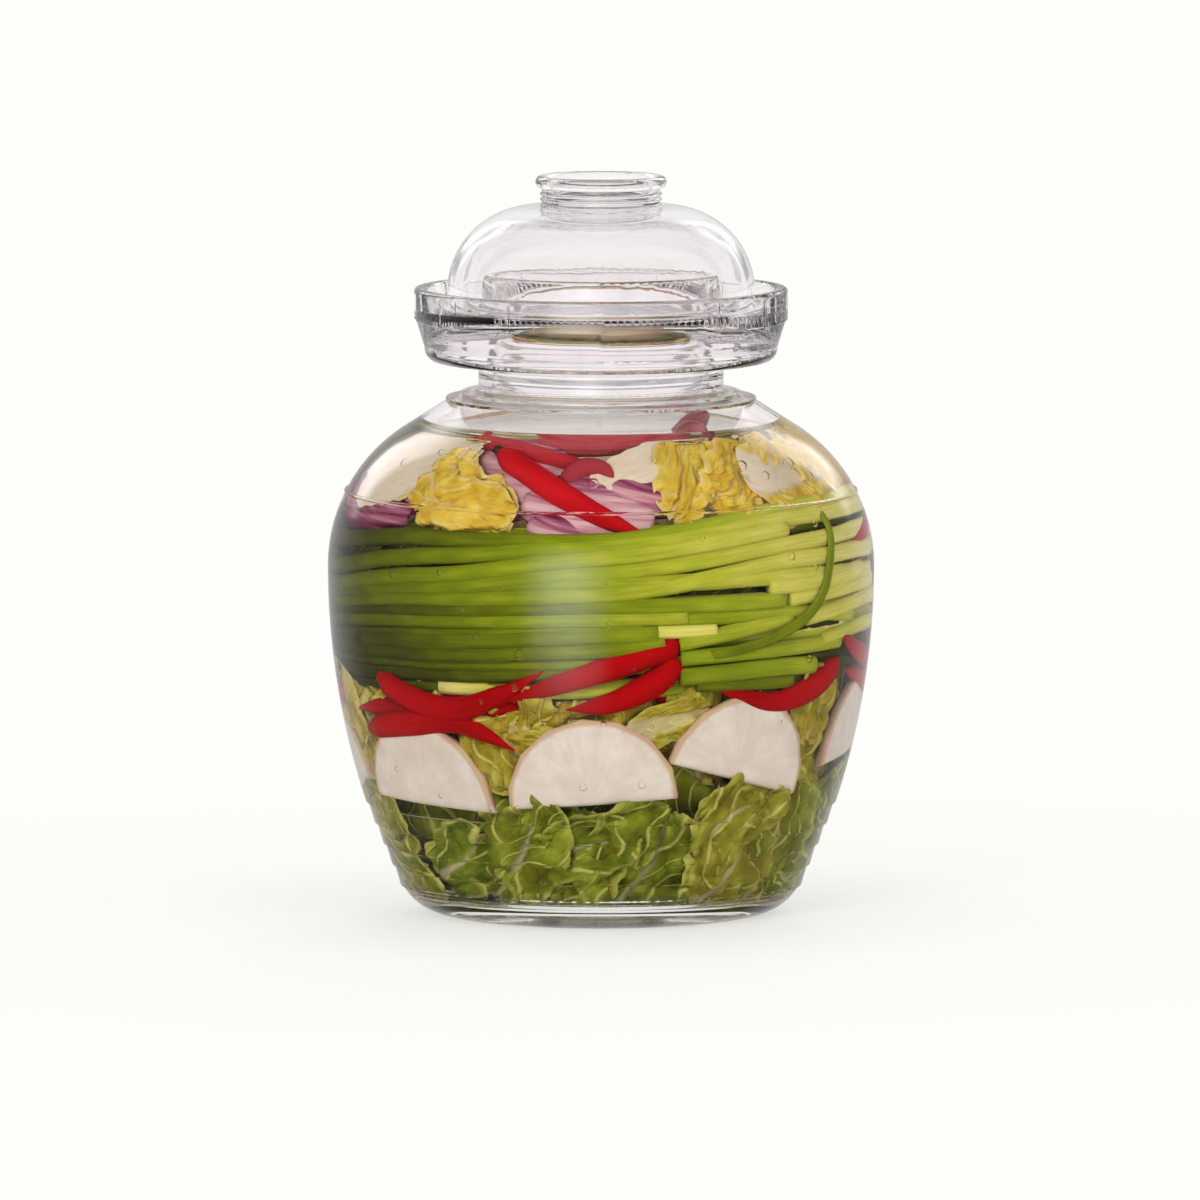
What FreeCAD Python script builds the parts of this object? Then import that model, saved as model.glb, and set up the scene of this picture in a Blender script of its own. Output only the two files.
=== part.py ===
"""Water-sealed glass fermentation jar, filled with brine, with its bell lid resting in the moat.

The frame is +Z up with the origin at the centre of the foot, in millimetres. The jar, the lid and
both liquids are turned about Z. Every outline is drawn as radius against height, and each of its
corners is tied to the sheet of sizes.
"""

import FreeCAD, Part
import math
import os
import Sketcher

from FreeCAD import Placement, Rotation, Vector

# ------------------------------------------------------------------ the sheet of sizes

SIZES = [
    # body of the jar, outside
    ("foot_radius", 50.5),
    ("foot_ring", 5.5),
    ("punt_rise", 2.0),
    ("belly_radius", 85.1),
    ("belly_height", 108.0),
    ("shoulder_curve", 51.2),
    ("shoulder_slope", 32.5),
    # grip rings: tiers that step inwards down to the foot
    ("grip_radius", 73.4),
    ("grip_height", 34.6),
    ("grip_pitch", 6.55),
    ("grip_fall", 2.7),
    ("grip_ledge", 0.9),
    # body of the jar, inside
    ("wall", 3.5),
    ("floor_thickness", 6.5),
    ("floor_inset", 1.5),
    # rings on the shoulder and the neck above them
    ("mould_ring_rise", 23.5),
    ("mould_ring_size", 0.6),
    ("upper_ring_step", 5.3),
    ("lower_ring_step", 4.9),
    ("ring_riser", 1.3),
    ("ring_round", 0.55),
    ("neck_radius", 38.1),
    ("neck_wall", 4.2),
    ("neck_length", 7.6),
    # moat that carries the lid and the sealing water
    ("moat_width", 10.8),
    ("moat_wall", 3.7),
    ("moat_depth", 18.4),
    ("moat_floor", 5.6),
    ("moat_taper", 3.2),
    ("moat_corner", 5.5),
    ("moat_rim_round", 1.1),
    # relief panels round the moat
    ("panel_count", 12),
    ("panel_relief", 0.6),
    ("panel_height", 9.8),
    ("panel_gap", 8.5),
    ("panel_turn", 4.9),
    ("panel_corner", 1.6),
    # collar inside the moat, with the mouth
    ("collar_rise", 4.3),
    ("collar_step", 2.3),
    ("collar_lean", 4.2),
    ("collar_wall", 2.8),
    ("collar_round", 1.1),
    # bell lid
    ("lid_gap", 3.5),
    ("lid_wall", 4.0),
    ("lid_side", 17.0),
    ("lid_crown", 26.7),
    ("lid_rim_round", 1.2),
    # hollow knob on the lid
    ("knob_waist", 18.4),
    ("knob_height", 9.6),
    ("knob_roll", 2.0),
    ("knob_wall", 3.0),
    ("knob_floor", 2.9),
    ("knob_ring_size", 0.55),
    ("knob_ring_pitch", 1.7),
    # liquids
    ("brine_rise", 2.75),
    ("seal_depth", 11.9),
    # chillies that come up through the brine
    ("long_chilli_radius", 4.3),
    ("arched_chilli_radius", 3.1),
]

GRIP_RINGS = 5
KNOB_RINGS = 3
CHILLI_SECTIONS = 9

doc = FreeCAD.newDocument("fermentation_jar")
sheet = doc.addObject("Spreadsheet::Sheet", "dims")
for row, (alias, value) in enumerate(SIZES, start=1):
    sheet.set(f"A{row}", alias.replace("_", " "))
    sheet.set(f"B{row}", str(value))
    sheet.setAlias(f"B{row}", alias)
doc.recompute()


def bind(text):
    """An expression on the sheet, written as one that another object can be tied to."""
    for alias, _ in SIZES:
        text = text.replace(f"<{alias}>", f"dims.{alias}")
    return text


def number(text):
    """The value of a bound expression."""
    return float(sheet.evalExpression(text.replace("dims.", "")))


# ------------------------------------------------------------------ levels shared by the pieces

UPPER_RING_R = "(<neck_radius> + <upper_ring_step>)"
LOWER_RING_R = f"({UPPER_RING_R} + <lower_ring_step>)"
COLLAR_R = "(<neck_radius> + <collar_step>)"
LIP_R = f"({COLLAR_R} - <collar_lean>)"
MOUTH_R = f"({LIP_R} - <collar_wall>)"
MOAT_FLOOR_R = f"({COLLAR_R} + <moat_width>)"
MOAT_INSIDE_R = f"({MOAT_FLOOR_R} + <moat_taper>)"
MOAT_R = f"({MOAT_INSIDE_R} + <moat_wall>)"
LID_R = f"({COLLAR_R} + <lid_gap> + <lid_wall>)"
LID_INNER_R = f"({COLLAR_R} + <lid_gap>)"

SHOULDER_TURN = "(90 deg - <shoulder_slope> * 1 deg)"
CURVE_CENTRE = "(<belly_radius> - <shoulder_curve>)"
SHOULDER_R = f"({CURVE_CENTRE} + <shoulder_curve> * cos({SHOULDER_TURN}))"
SHOULDER_Z = f"(<belly_height> + <shoulder_curve> * sin({SHOULDER_TURN}))"
SLOPE = "tan(<shoulder_slope> * 1 deg)"

RING_Z = f"({SHOULDER_Z} + ({SHOULDER_R} - {LOWER_RING_R}) * {SLOPE})"
UPPER_RING_Z = f"({RING_Z} + <ring_riser> + 0.1 * <lower_ring_step>)"
NECK_FOOT_Z = f"({UPPER_RING_Z} + <ring_riser> + 0.1 * <upper_ring_step>)"
MOAT_UNDER_Z = f"({NECK_FOOT_Z} + <neck_length>)"
MOAT_FLOOR_Z = f"({MOAT_UNDER_Z} + <moat_floor>)"
MOAT_RIM_Z = f"({MOAT_FLOOR_Z} + <moat_depth>)"
MOUTH_Z = f"({MOAT_RIM_Z} + <collar_rise>)"

INNER_R = "(<belly_radius> - <wall>)"
INNER_SHOULDER_R = f"({CURVE_CENTRE} + (<shoulder_curve> - <wall>) * cos({SHOULDER_TURN}))"
INNER_SHOULDER_Z = f"(<belly_height> + (<shoulder_curve> - <wall>) * sin({SHOULDER_TURN}))"
INNER_NECK_R = "(<neck_radius> - <neck_wall>)"
INNER_NECK_Z = f"({INNER_SHOULDER_Z} + ({INNER_SHOULDER_R} - {INNER_NECK_R}) * {SLOPE})"
GRIP_INNER_R = "(<grip_radius> - <grip_ledge> - <wall>)"
HEEL_RINGS = GRIP_RINGS - 2
HEEL_R = f"({GRIP_INNER_R} - {HEEL_RINGS} * <grip_fall>)"
HEEL_Z = f"(<grip_height> - {HEEL_RINGS} * <grip_pitch>)"
FLOOR_R = "(<foot_radius> - <floor_inset>)"
BRINE_Z = f"({INNER_SHOULDER_Z} + <brine_rise>)"
BRINE_R = f"({INNER_SHOULDER_R} - <brine_rise> / {SLOPE})"

MOAT_CORNER_Z = f"({MOAT_UNDER_Z} + <moat_corner>)"
MOAT_CORNER_R = f"({MOAT_R} - <moat_taper>)"
PANEL_Z = f"({MOAT_RIM_Z} - <panel_height>)"

LID_TURN_Z = f"({MOAT_FLOOR_Z} + <lid_side>)"
LID_TOP_Z = f"({LID_TURN_Z} + <lid_crown>)"
LID_UNDER_Z = f"({LID_TOP_Z} - <lid_wall>)"
KNOB_TOP_Z = f"({LID_TOP_Z} + <knob_height>)"


# ------------------------------------------------------------------ helpers that draw and check


class Outline:
    """A closed outline in a sketch, whose corners are tied to the sheet one by one."""

    def __init__(self, body, name, plane="XZ_Plane"):
        self.sketch = body.newObject("Sketcher::SketchObject", name)
        support = [part for part in body.Origin.OriginFeatures if part.Role == plane][0]
        self.sketch.AttachmentSupport = [(support, "")]
        self.sketch.MapMode = "FlatFace"

    def tie(self, kind, geometry, position, expression):
        """Keep one coordinate of a point at an expression. Nought puts the point on the axis."""
        expression = bind(expression)
        value = number(expression)
        if abs(value) < 1e-9:
            axis = -2 if kind == "DistanceX" else -1
            self.sketch.addConstraint(Sketcher.Constraint("PointOnObject", geometry, position, axis))
            return
        ends = (-1, 1, geometry, position) if value > 0 else (geometry, position, -1, 1)
        index = self.sketch.addConstraint(Sketcher.Constraint(kind, *ends, abs(value)))
        self.sketch.setExpression(f"Constraints[{index}]", expression if value > 0 else f"-({expression})")

    def nearest_end(self, geometry, corner):
        """The end of an edge that lies at a corner: 1 for its start, 2 for its end."""
        gaps = [(self.sketch.getPoint(geometry, end) - corner).Length for end in (1, 2)]
        return 1 + gaps.index(min(gaps))

    def close(self, corners, arcs=None):
        """Join corners in order, and back to the first. arcs gives the edges that are arcs.

        An arc is ("level", height) when its centre stands at that height, or
        ("via", radius, height) when it passes through that point.
        """
        arcs = arcs or {}
        points = [Vector(number(bind(r)), number(bind(z)), 0) for r, z in corners]
        edges = []
        for index, start in enumerate(points):
            finish = points[(index + 1) % len(points)]
            if index in arcs:
                edges.append(self.arc(start, finish, arcs[index]))
            else:
                edges.append(self.sketch.addGeometry(Part.LineSegment(start, finish), False))
        for index, corner in enumerate(points):
            before, after = edges[index - 1], edges[index]
            ends = self.nearest_end(before, corner), self.nearest_end(after, corner)
            if before == after:
                continue
            self.sketch.addConstraint(Sketcher.Constraint("Coincident", before, ends[0], after, ends[1]))
            self.tie("DistanceX", after, ends[1], corners[index][0])
            self.tie("DistanceY", after, ends[1], corners[index][1])
        return self.sketch

    def arc(self, start, finish, rule):
        """Add one arc from start to finish, held by its rule."""
        if rule[0] == "via":
            middle = Vector(number(bind(rule[1])), number(bind(rule[2])), 0)
            edge = self.sketch.addGeometry(Part.Arc(start, middle, finish), False)
            point = self.sketch.addGeometry(Part.Point(middle), True)
            self.tie("DistanceX", point, 1, rule[1])
            self.tie("DistanceY", point, 1, rule[2])
            self.sketch.addConstraint(Sketcher.Constraint("PointOnObject", point, 1, edge))
            return edge
        level = number(bind(rule[1]))
        rise = (start.y - level) ** 2 - (finish.y - level) ** 2
        centre = Vector((start.x**2 - finish.x**2 + rise) / (2 * (start.x - finish.x)), level, 0)
        radius = (start - centre).Length
        halfway = ((start - centre) + (finish - centre)).normalize()
        edge = self.sketch.addGeometry(Part.Arc(start, centre + halfway * radius, finish), False)
        self.tie("DistanceY", edge, 3, rule[1])
        return edge

    def circle(self, radius, height, girth):
        """Add one circle, for a bead that runs round the piece."""
        centre = Vector(number(bind(radius)), number(bind(height)), 0)
        geometry = self.sketch.addGeometry(Part.Circle(centre, Vector(0, 0, 1), number(bind(girth))), False)
        self.tie("DistanceX", geometry, 3, radius)
        self.tie("DistanceY", geometry, 3, height)
        index = self.sketch.addConstraint(Sketcher.Constraint("Radius", geometry, number(bind(girth))))
        self.sketch.setExpression(f"Constraints[{index}]", bind(girth))
        return self.sketch


def revolve(body, sketch, name):
    """Turn a sketch all the way round Z."""
    turned = body.newObject("PartDesign::Revolution", name)
    turned.Profile = sketch
    turned.ReferenceAxis = (sketch, ["V_Axis"])
    turned.Angle = 360
    sketch.Visibility = False
    doc.recompute()
    return turned


def round_rings(body, rings, radius, name):
    """Round the circular edges that stand at the given (radius, height) pairs."""
    base = body.Tip
    wanted = [(number(bind(r)), number(bind(z))) for r, z in rings]
    names = []
    for index, edge in enumerate(base.Shape.Edges, start=1):
        curve = edge.Curve
        if curve.TypeId != "Part::GeomCircle":
            continue
        for ring, height in wanted:
            if abs(curve.Radius - ring) < 1e-4 and abs(curve.Center.z - height) < 1e-4:
                names.append(f"Edge{index}")
                break
    if len(names) < len(wanted):
        raise RuntimeError(f"{name}: found {len(names)} edges for {len(wanted)} rings")
    fillet = body.newObject("PartDesign::Fillet", name)
    fillet.Base = (base, names)
    fillet.setExpression("Radius", bind(radius))
    doc.recompute()
    return fillet


# ------------------------------------------------------------------ the jar


def jar_outline(jar):
    """Half section of the jar: outside from the foot up, over the moat and collar, down the inside."""
    corners = [
        ("0", "<punt_rise>"),
        ("<foot_radius> - <foot_ring> - <punt_rise>", "<punt_rise>"),
        ("<foot_radius> - <foot_ring>", "0"),
        ("<foot_radius>", "0"),
    ]
    arcs = {}
    # The heel is one arc, from the foot to the lowest tier.
    last = GRIP_RINGS - 1
    heel_r = f"(<grip_radius> - {last} * <grip_fall> - <grip_ledge>)"
    heel_z = f"(<grip_height> - {last} * <grip_pitch> - <grip_ledge> / 2)"
    arcs[3] = ("via", f"<foot_radius> + 0.64 * ({heel_r} - <foot_radius>)", f"0.4 * {heel_z}")
    # Each tier ends in a ledge, below a rim that stands out.
    for ring in reversed(range(GRIP_RINGS)):
        rim_r = f"(<grip_radius> - {ring} * <grip_fall>)"
        rim_z = f"(<grip_height> - {ring} * <grip_pitch>)"
        corners.append((f"{rim_r} - <grip_ledge>", f"{rim_z} - <grip_ledge> / 2"))
        corners.append((rim_r, rim_z))
    # The belly is two arcs that meet upright at its widest, then a straight shoulder.
    arcs[len(corners) - 1] = ("level", "<belly_height>")
    corners.append(("<belly_radius>", "<belly_height>"))
    arcs[len(corners) - 1] = ("level", "<belly_height>")
    corners += [
        (SHOULDER_R, SHOULDER_Z),
        (LOWER_RING_R, RING_Z),
        (LOWER_RING_R, f"{RING_Z} + <ring_riser>"),
        (UPPER_RING_R, UPPER_RING_Z),
        (UPPER_RING_R, f"{UPPER_RING_Z} + <ring_riser>"),
        ("<neck_radius>", NECK_FOOT_Z),
        ("<neck_radius>", MOAT_UNDER_Z),
    ]
    # The moat's underside runs out and turns up into its wall.
    corners.append((f"{MOAT_CORNER_R} - <moat_corner>", f"{MOAT_UNDER_Z} + <moat_corner> / 4"))
    bend_r = f"{MOAT_CORNER_R} - 0.22 * <moat_corner>"
    bend_z = f"{MOAT_UNDER_Z} + 0.42 * <moat_corner>"
    arcs[len(corners) - 1] = ("via", bend_r, bend_z)
    corners += [
        (MOAT_CORNER_R, MOAT_CORNER_Z),
        (f"{MOAT_R} - <panel_relief> - 0.1", f"{PANEL_Z} - <panel_relief>"),
        (MOAT_R, PANEL_Z),
        (MOAT_R, MOAT_RIM_Z),
        (MOAT_INSIDE_R, MOAT_RIM_Z),
    ]
    # The channel, the collar and the mouth.
    corners += [
        (f"{MOAT_FLOOR_R} + <moat_taper> / 3", f"{MOAT_FLOOR_Z} + <moat_taper>"),
        (f"{MOAT_FLOOR_R} - <moat_taper> / 3", MOAT_FLOOR_Z),
        (COLLAR_R, MOAT_FLOOR_Z),
        (LIP_R, MOUTH_Z),
        (MOUTH_R, MOUTH_Z),
        (INNER_NECK_R, f"{INNER_NECK_Z} + <neck_wall>"),
    ]
    # Down the inside: throat, shoulder, belly, heel and floor.
    throat_r = f"({INNER_NECK_R} + <neck_wall>)"
    throat_z = f"({INNER_NECK_Z} - <neck_wall> * {SLOPE})"
    throat_bend = (f"{INNER_NECK_R} + 0.22 * <neck_wall>", f"{INNER_NECK_Z} + 0.28 * <neck_wall>")
    arcs[len(corners) - 1] = ("via", *throat_bend)
    corners.append((throat_r, throat_z))
    corners.append((INNER_SHOULDER_R, INNER_SHOULDER_Z))
    arcs[len(corners) - 1] = ("level", "<belly_height>")
    corners.append((INNER_R, "<belly_height>"))
    arcs[len(corners) - 1] = ("level", "<belly_height>")
    corners += [(GRIP_INNER_R, "<grip_height>"), (HEEL_R, HEEL_Z)]
    arcs[len(corners) - 1] = inner_heel()
    corners += [(FLOOR_R, "<floor_thickness>"), ("0", "<floor_thickness>")]
    return Outline(jar, "jar_outline").close(corners, arcs)


def inner_heel():
    """The arc between the inner wall and the floor, which the brine shares."""
    across = f"({HEEL_R} - {FLOOR_R})"
    rise = f"({HEEL_Z} - <floor_thickness>)"
    return ("via", f"{FLOOR_R} + 0.66 * {across}", f"<floor_thickness> + 0.3 * {rise}")


def make_jar():
    """One moulded glass piece: body, grip rings, shoulder rings, neck, moat with panels, and collar."""
    jar = doc.addObject("PartDesign::Body", "jar")
    jar.Label = "jar"
    revolve(jar, jar_outline(jar), "glass")

    across = "sqrt(<shoulder_curve> * <shoulder_curve> - <mould_ring_rise> * <mould_ring_rise>)"
    ring = (f"{CURVE_CENTRE} + {across}", "<belly_height> + <mould_ring_rise>")
    bead = Outline(jar, "mould_ring_outline").circle(*ring, "<mould_ring_size>")
    revolve(jar, bead, "mould_ring")

    rings = [
        (LOWER_RING_R, f"{RING_Z} + <ring_riser>"),
        (UPPER_RING_R, f"{UPPER_RING_Z} + <ring_riser>"),
    ]
    round_rings(jar, rings, "<ring_round>", "shoulder_ring_rounds")
    round_rings(jar, [("<neck_radius>", NECK_FOOT_Z), ("<neck_radius>", MOAT_UNDER_Z)],
                "2 * <ring_round>", "neck_rounds")
    lips = [(LIP_R, MOUTH_Z), (MOUTH_R, MOUTH_Z)]
    round_rings(jar, lips, "<collar_round>", "collar_rounds")
    rims = [(MOAT_R, MOAT_RIM_Z), (MOAT_INSIDE_R, MOAT_RIM_Z)]
    round_rings(jar, rims, "<moat_rim_round>", "moat_rim_rounds")
    cut_panel_gaps(jar)
    return jar


def cut_panel_gaps(jar):
    """Cut the gaps between the relief panels, which round off the panels' lower corners."""
    outline = Outline(jar, "panel_gap_outline")
    half = f"({MOAT_R} * sin(<panel_gap> * 0.5 deg))"
    low = f"({PANEL_Z} - 2 * <panel_relief>)"
    high = f"({MOAT_RIM_Z} - 1.5 * <moat_rim_round>)"
    turn = f"({PANEL_Z} + <panel_corner>)"
    flare = f"({half} + <panel_corner>)"
    corners = [
        (f"-{flare}", low),
        (flare, low),
        (flare, PANEL_Z),
        (half, turn),
        (half, high),
        (f"-{half}", high),
        (f"-{half}", turn),
        (f"-{flare}", PANEL_Z),
    ]
    inset = "0.29 * <panel_corner>"
    arcs = {
        2: ("via", f"{half} + {inset}", f"{PANEL_Z} + {inset}"),
        6: ("via", f"-({half} + {inset})", f"{PANEL_Z} + {inset}"),
    }
    sketch = outline.close(corners, arcs)
    clear = f"({MOAT_R} + 2)"
    sketch.AttachmentOffset = Placement(Vector(1, 0, 1), Rotation(Vector(0, 1, 0), 1))
    sketch.setExpression("AttachmentOffset.Base.x", bind(f"{clear} * sin(<panel_turn> * 1 deg)"))
    sketch.setExpression("AttachmentOffset.Base.z", bind(f"{clear} * cos(<panel_turn> * 1 deg)"))
    sketch.setExpression("AttachmentOffset.Rotation.Angle", bind("<panel_turn> * 1 deg"))
    before = jar.Tip.Shape.Volume
    gap = jar.newObject("PartDesign::Pocket", "panel_gap")
    gap.Profile = sketch
    gap.setExpression("Length", bind("2 + <panel_relief>"))
    doc.recompute()
    if gap.Shape.Volume >= before:
        raise RuntimeError("the panel gap cuts nothing")
    gaps = jar.newObject("PartDesign::PolarPattern", "panel_gaps")
    gaps.Originals = [gap]
    gaps.Axis = ([part for part in jar.Origin.OriginFeatures if part.Role == "Z_Axis"][0], [""])
    gaps.Angle = 360
    gaps.setExpression("Occurrences", bind("<panel_count>"))
    jar.Tip = gaps
    doc.recompute()


# ------------------------------------------------------------------ the lid


def make_lid():
    """A glass bell that stands on the moat's floor, with a hollow ring for a knob."""
    lid = doc.addObject("PartDesign::Body", "lid")
    lid.Label = "lid"
    knob_rim = "(<knob_waist> + <knob_roll>)"
    rim_z = f"({KNOB_TOP_Z} - <knob_roll>)"
    hollow = "(<knob_waist> - <knob_wall>)"
    floor_z = f"({LID_UNDER_Z} + <knob_floor>)"
    corners = [
        (LID_INNER_R, MOAT_FLOOR_Z),
        (LID_R, MOAT_FLOOR_Z),
        (LID_R, LID_TURN_Z),
        ("<knob_waist>", LID_TOP_Z),
        ("<knob_waist>", f"{rim_z} - <knob_roll>"),
        (knob_rim, rim_z),
        ("<knob_waist>", KNOB_TOP_Z),
        (f"{hollow} + <knob_roll> / 2", f"{rim_z}"),
        (hollow, f"{floor_z} + <knob_wall>"),
        (f"{hollow} - <knob_wall>", floor_z),
        ("0", floor_z),
        ("0", LID_UNDER_Z),
        ("<knob_waist>", LID_UNDER_Z),
        (LID_INNER_R, LID_TURN_Z),
    ]
    roll = "0.7071 * <knob_roll>"
    arcs = {
        2: ("level", LID_TURN_Z),
        4: ("via", "<knob_waist> + 0.8 * <knob_roll>", f"{rim_z} - 0.62 * <knob_roll>"),
        5: ("via", f"<knob_waist> + {roll}", f"{rim_z} + {roll}"),
        6: ("via", f"{hollow} + 0.9 * <knob_roll>", f"{rim_z} + 0.75 * <knob_roll>"),
        8: ("via", f"{hollow} - 0.29 * <knob_wall>", f"{floor_z} + 0.29 * <knob_wall>"),
        12: ("level", LID_TURN_Z),
    }
    revolve(lid, Outline(lid, "lid_outline").close(corners, arcs), "bell")
    for ring in range(KNOB_RINGS):
        height = f"{LID_TOP_Z} + <knob_ring_size> + {ring} * <knob_ring_pitch>"
        bead = Outline(lid, f"knob_ring_outline_{ring}").circle("<knob_waist>", height, "<knob_ring_size>")
        revolve(lid, bead, f"knob_ring_{ring}")
    rims = [(LID_INNER_R, MOAT_FLOOR_Z), (LID_R, MOAT_FLOOR_Z)]
    round_rings(lid, rims, "<lid_rim_round>", "lid_rim_rounds")
    return lid


# ------------------------------------------------------------------ the chillies and the liquids

# From cap to tip: across and in depth, as shares of the brine's top radius, and millimetres above it.
LONG_SPINE = [
    (0.57, -0.34, 5.5),
    (0.5, -0.37, 0.5),
    (0.41, -0.4, -4.2),
    (0.24, -0.4, -7.6),
    (0.02, -0.38, -9.5),
]
ARCHED_SPINE = [
    (0.42, -0.62, -5.5),
    (0.45, -0.64, -1.0),
    (0.51, -0.64, 1.1),
    (0.57, -0.64, -2.8),
    (0.59, -0.63, -9.5),
]

def taper(along):
    """Share of a chilli's full girth from its cap, at 0, to its tip, at 1."""
    shoulder = min(1.0, 0.55 + 2.6 * along)
    return shoulder * max(0.16, (1.0 - along**2.4) ** 0.8)


def make_chilli(label, girth, spine):
    """A bent, tapered chilli: a loft through rings that follow a smooth line through the points.

    Each point of the spine is scaled by the brine's top radius and set against its level.
    """
    reach, level = number(bind(BRINE_R)), number(bind(BRINE_Z))
    line = Part.BSplineCurve()
    line.interpolate([Vector(across * reach, depth * reach, level + rise) for across, depth, rise in spine])
    first, last = line.FirstParameter, line.LastParameter
    rings = []
    for index in range(CHILLI_SECTIONS):
        along = index / (CHILLI_SECTIONS - 1)
        at = first + along * (last - first)
        ring = doc.addObject("Part::Circle", f"{label}_ring_{index}")
        ring.setExpression("Radius", f"{bind(girth)} * {taper(along):.3f}")
        turn = Rotation(Vector(0, 0, 1), line.tangent(at)[0])
        ring.Placement = Placement(line.value(at), turn)
        ring.Visibility = False
        rings.append(ring)
    chilli = doc.addObject("Part::Loft", label)
    chilli.Label = label
    chilli.Sections = rings
    chilli.Solid = True
    doc.recompute()
    return chilli


def make_brine(chillies):
    """The brine, up to its level inside the jar, cut round the chillies that come out of it."""
    fill = doc.addObject("PartDesign::Body", "brine_fill")
    corners = [
        ("0", "<floor_thickness>"),
        (FLOOR_R, "<floor_thickness>"),
        (HEEL_R, HEEL_Z),
        (GRIP_INNER_R, "<grip_height>"),
        (INNER_R, "<belly_height>"),
        (INNER_SHOULDER_R, INNER_SHOULDER_Z),
        (BRINE_R, BRINE_Z),
        ("0", BRINE_Z),
    ]
    arcs = {1: inner_heel(), 3: ("level", "<belly_height>"), 4: ("level", "<belly_height>")}
    revolve(fill, Outline(fill, "brine_outline").close(corners, arcs), "liquid")
    brine = fill
    for chilli in chillies:
        rest = doc.addObject("Part::Cut", f"round_{chilli.Label}")
        rest.Base = brine
        rest.Tool = chilli
        doc.recompute()
        brine = rest
    brine.Label = "brine"
    return brine


def make_seal_water(lid):
    """The sealing water that stands in the moat, on both sides of the lid's wall."""
    fill = doc.addObject("PartDesign::Body", "moat_fill")
    level = f"({MOAT_FLOOR_Z} + <seal_depth>)"
    knee_r = f"({MOAT_FLOOR_R} + <moat_taper> / 3)"
    knee_z = f"({MOAT_FLOOR_Z} + <moat_taper>)"
    wall_r = f"({knee_r} + ({MOAT_INSIDE_R} - {knee_r}) * ({level} - {knee_z}) / ({MOAT_RIM_Z} - {knee_z}))"
    lean = f"(<seal_depth> / ({MOUTH_Z} - {MOAT_FLOOR_Z}))"
    collar_r = f"({COLLAR_R} - <collar_lean> * {lean})"
    corners = [
        (COLLAR_R, MOAT_FLOOR_Z),
        (f"{MOAT_FLOOR_R} - <moat_taper> / 3", MOAT_FLOOR_Z),
        (knee_r, knee_z),
        (wall_r, level),
        (collar_r, level),
    ]
    revolve(fill, Outline(fill, "moat_fill_outline").close(corners), "ring_of_water")
    water = doc.addObject("Part::Cut", "seal_water")
    water.Base = fill
    water.Tool = lid
    water.Label = "seal_water"
    doc.recompute()
    return water


# ------------------------------------------------------------------ build, check and export

jar = make_jar()
lid = make_lid()
long_chilli = make_chilli("long_chilli", "<long_chilli_radius>", LONG_SPINE)
arched_chilli = make_chilli("arched_chilli", "<arched_chilli_radius>", ARCHED_SPINE)
brine = make_brine([long_chilli, arched_chilli])
seal_water = make_seal_water(lid)
doc.recompute()

for thing in doc.Objects:
    if "Invalid" in thing.State or "Error" in thing.State:
        raise RuntimeError(f"{thing.Label} failed: {thing.State}")
    if thing.TypeId == "Sketcher::SketchObject" and not thing.FullyConstrained:
        raise RuntimeError(f"{thing.Label} isn't fully held")

os.makedirs("parts", exist_ok=True)
for piece in (jar, lid, brine, seal_water, long_chilli, arched_chilli):
    shape = piece.Shape
    if shape.isNull() or not shape.isValid():
        raise RuntimeError(f"{piece.Label} has no valid shape")
    shape.exportStep(f"parts/{piece.Label}.step")
    box = shape.BoundBox
    print(f"{piece.Label}: {len(shape.Solids)} solids, {shape.Volume / 1000:.1f} ml, "
          f"z {box.ZMin:.1f} to {box.ZMax:.1f}, width {box.XLength:.1f}")
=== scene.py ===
"""Fermentation jar: pressed glass, brine and packed vegetables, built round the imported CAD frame."""

import logging
import math
import random
from dataclasses import dataclass, field
from enum import Enum
from typing import Any, Sequence

import bmesh
import bpy
from mathutils import Matrix, Vector, noise
from mathutils.bvhtree import BVHTree


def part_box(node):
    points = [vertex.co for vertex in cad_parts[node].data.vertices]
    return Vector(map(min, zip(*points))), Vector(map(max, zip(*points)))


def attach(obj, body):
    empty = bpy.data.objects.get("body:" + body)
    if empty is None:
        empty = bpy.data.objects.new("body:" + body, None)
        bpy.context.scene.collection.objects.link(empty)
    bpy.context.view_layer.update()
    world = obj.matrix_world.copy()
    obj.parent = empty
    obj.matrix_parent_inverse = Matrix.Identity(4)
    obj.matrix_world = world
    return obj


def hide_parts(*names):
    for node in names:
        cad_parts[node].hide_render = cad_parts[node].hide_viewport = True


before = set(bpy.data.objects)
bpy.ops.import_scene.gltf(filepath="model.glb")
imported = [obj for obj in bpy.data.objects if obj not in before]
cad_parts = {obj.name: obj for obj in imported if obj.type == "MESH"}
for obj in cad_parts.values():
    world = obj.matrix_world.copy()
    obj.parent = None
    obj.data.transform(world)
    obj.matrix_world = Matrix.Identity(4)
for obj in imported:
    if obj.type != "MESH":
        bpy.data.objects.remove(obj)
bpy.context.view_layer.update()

log = logging.getLogger("fermentation_jar")
MM = 0.001
# Indices of refraction.
GLASS = 1.5
WATER = 1.33
# Air in brine bends light the other way: 1 / 1.33.
AIR_IN_BRINE = 0.75
# Wet flesh bends light by 1.44 and brine by 1.33, so a sunk skin mirrors as 1.08 does in air.
SKIN_IN_BRINE = 1.08
DRY_SKIN = 1.45
WHITE = "FEFEFA"


def linear(code: str) -> tuple[float, float, float, float]:
    """Turns an sRGB hex colour to linear light.

    Args:
        code: Six hex digits, such as "D8C4A0".

    Returns:
        Linear red, green and blue, and an alpha of 1.
    """
    parts = []
    for start in (0, 2, 4):
        value = int(code[start : start + 2], 16) / 255
        parts.append(value / 12.92 if value <= 0.04045 else ((value + 0.055) / 1.055) ** 2.4)
    return (parts[0], parts[1], parts[2], 1.0)


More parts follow.
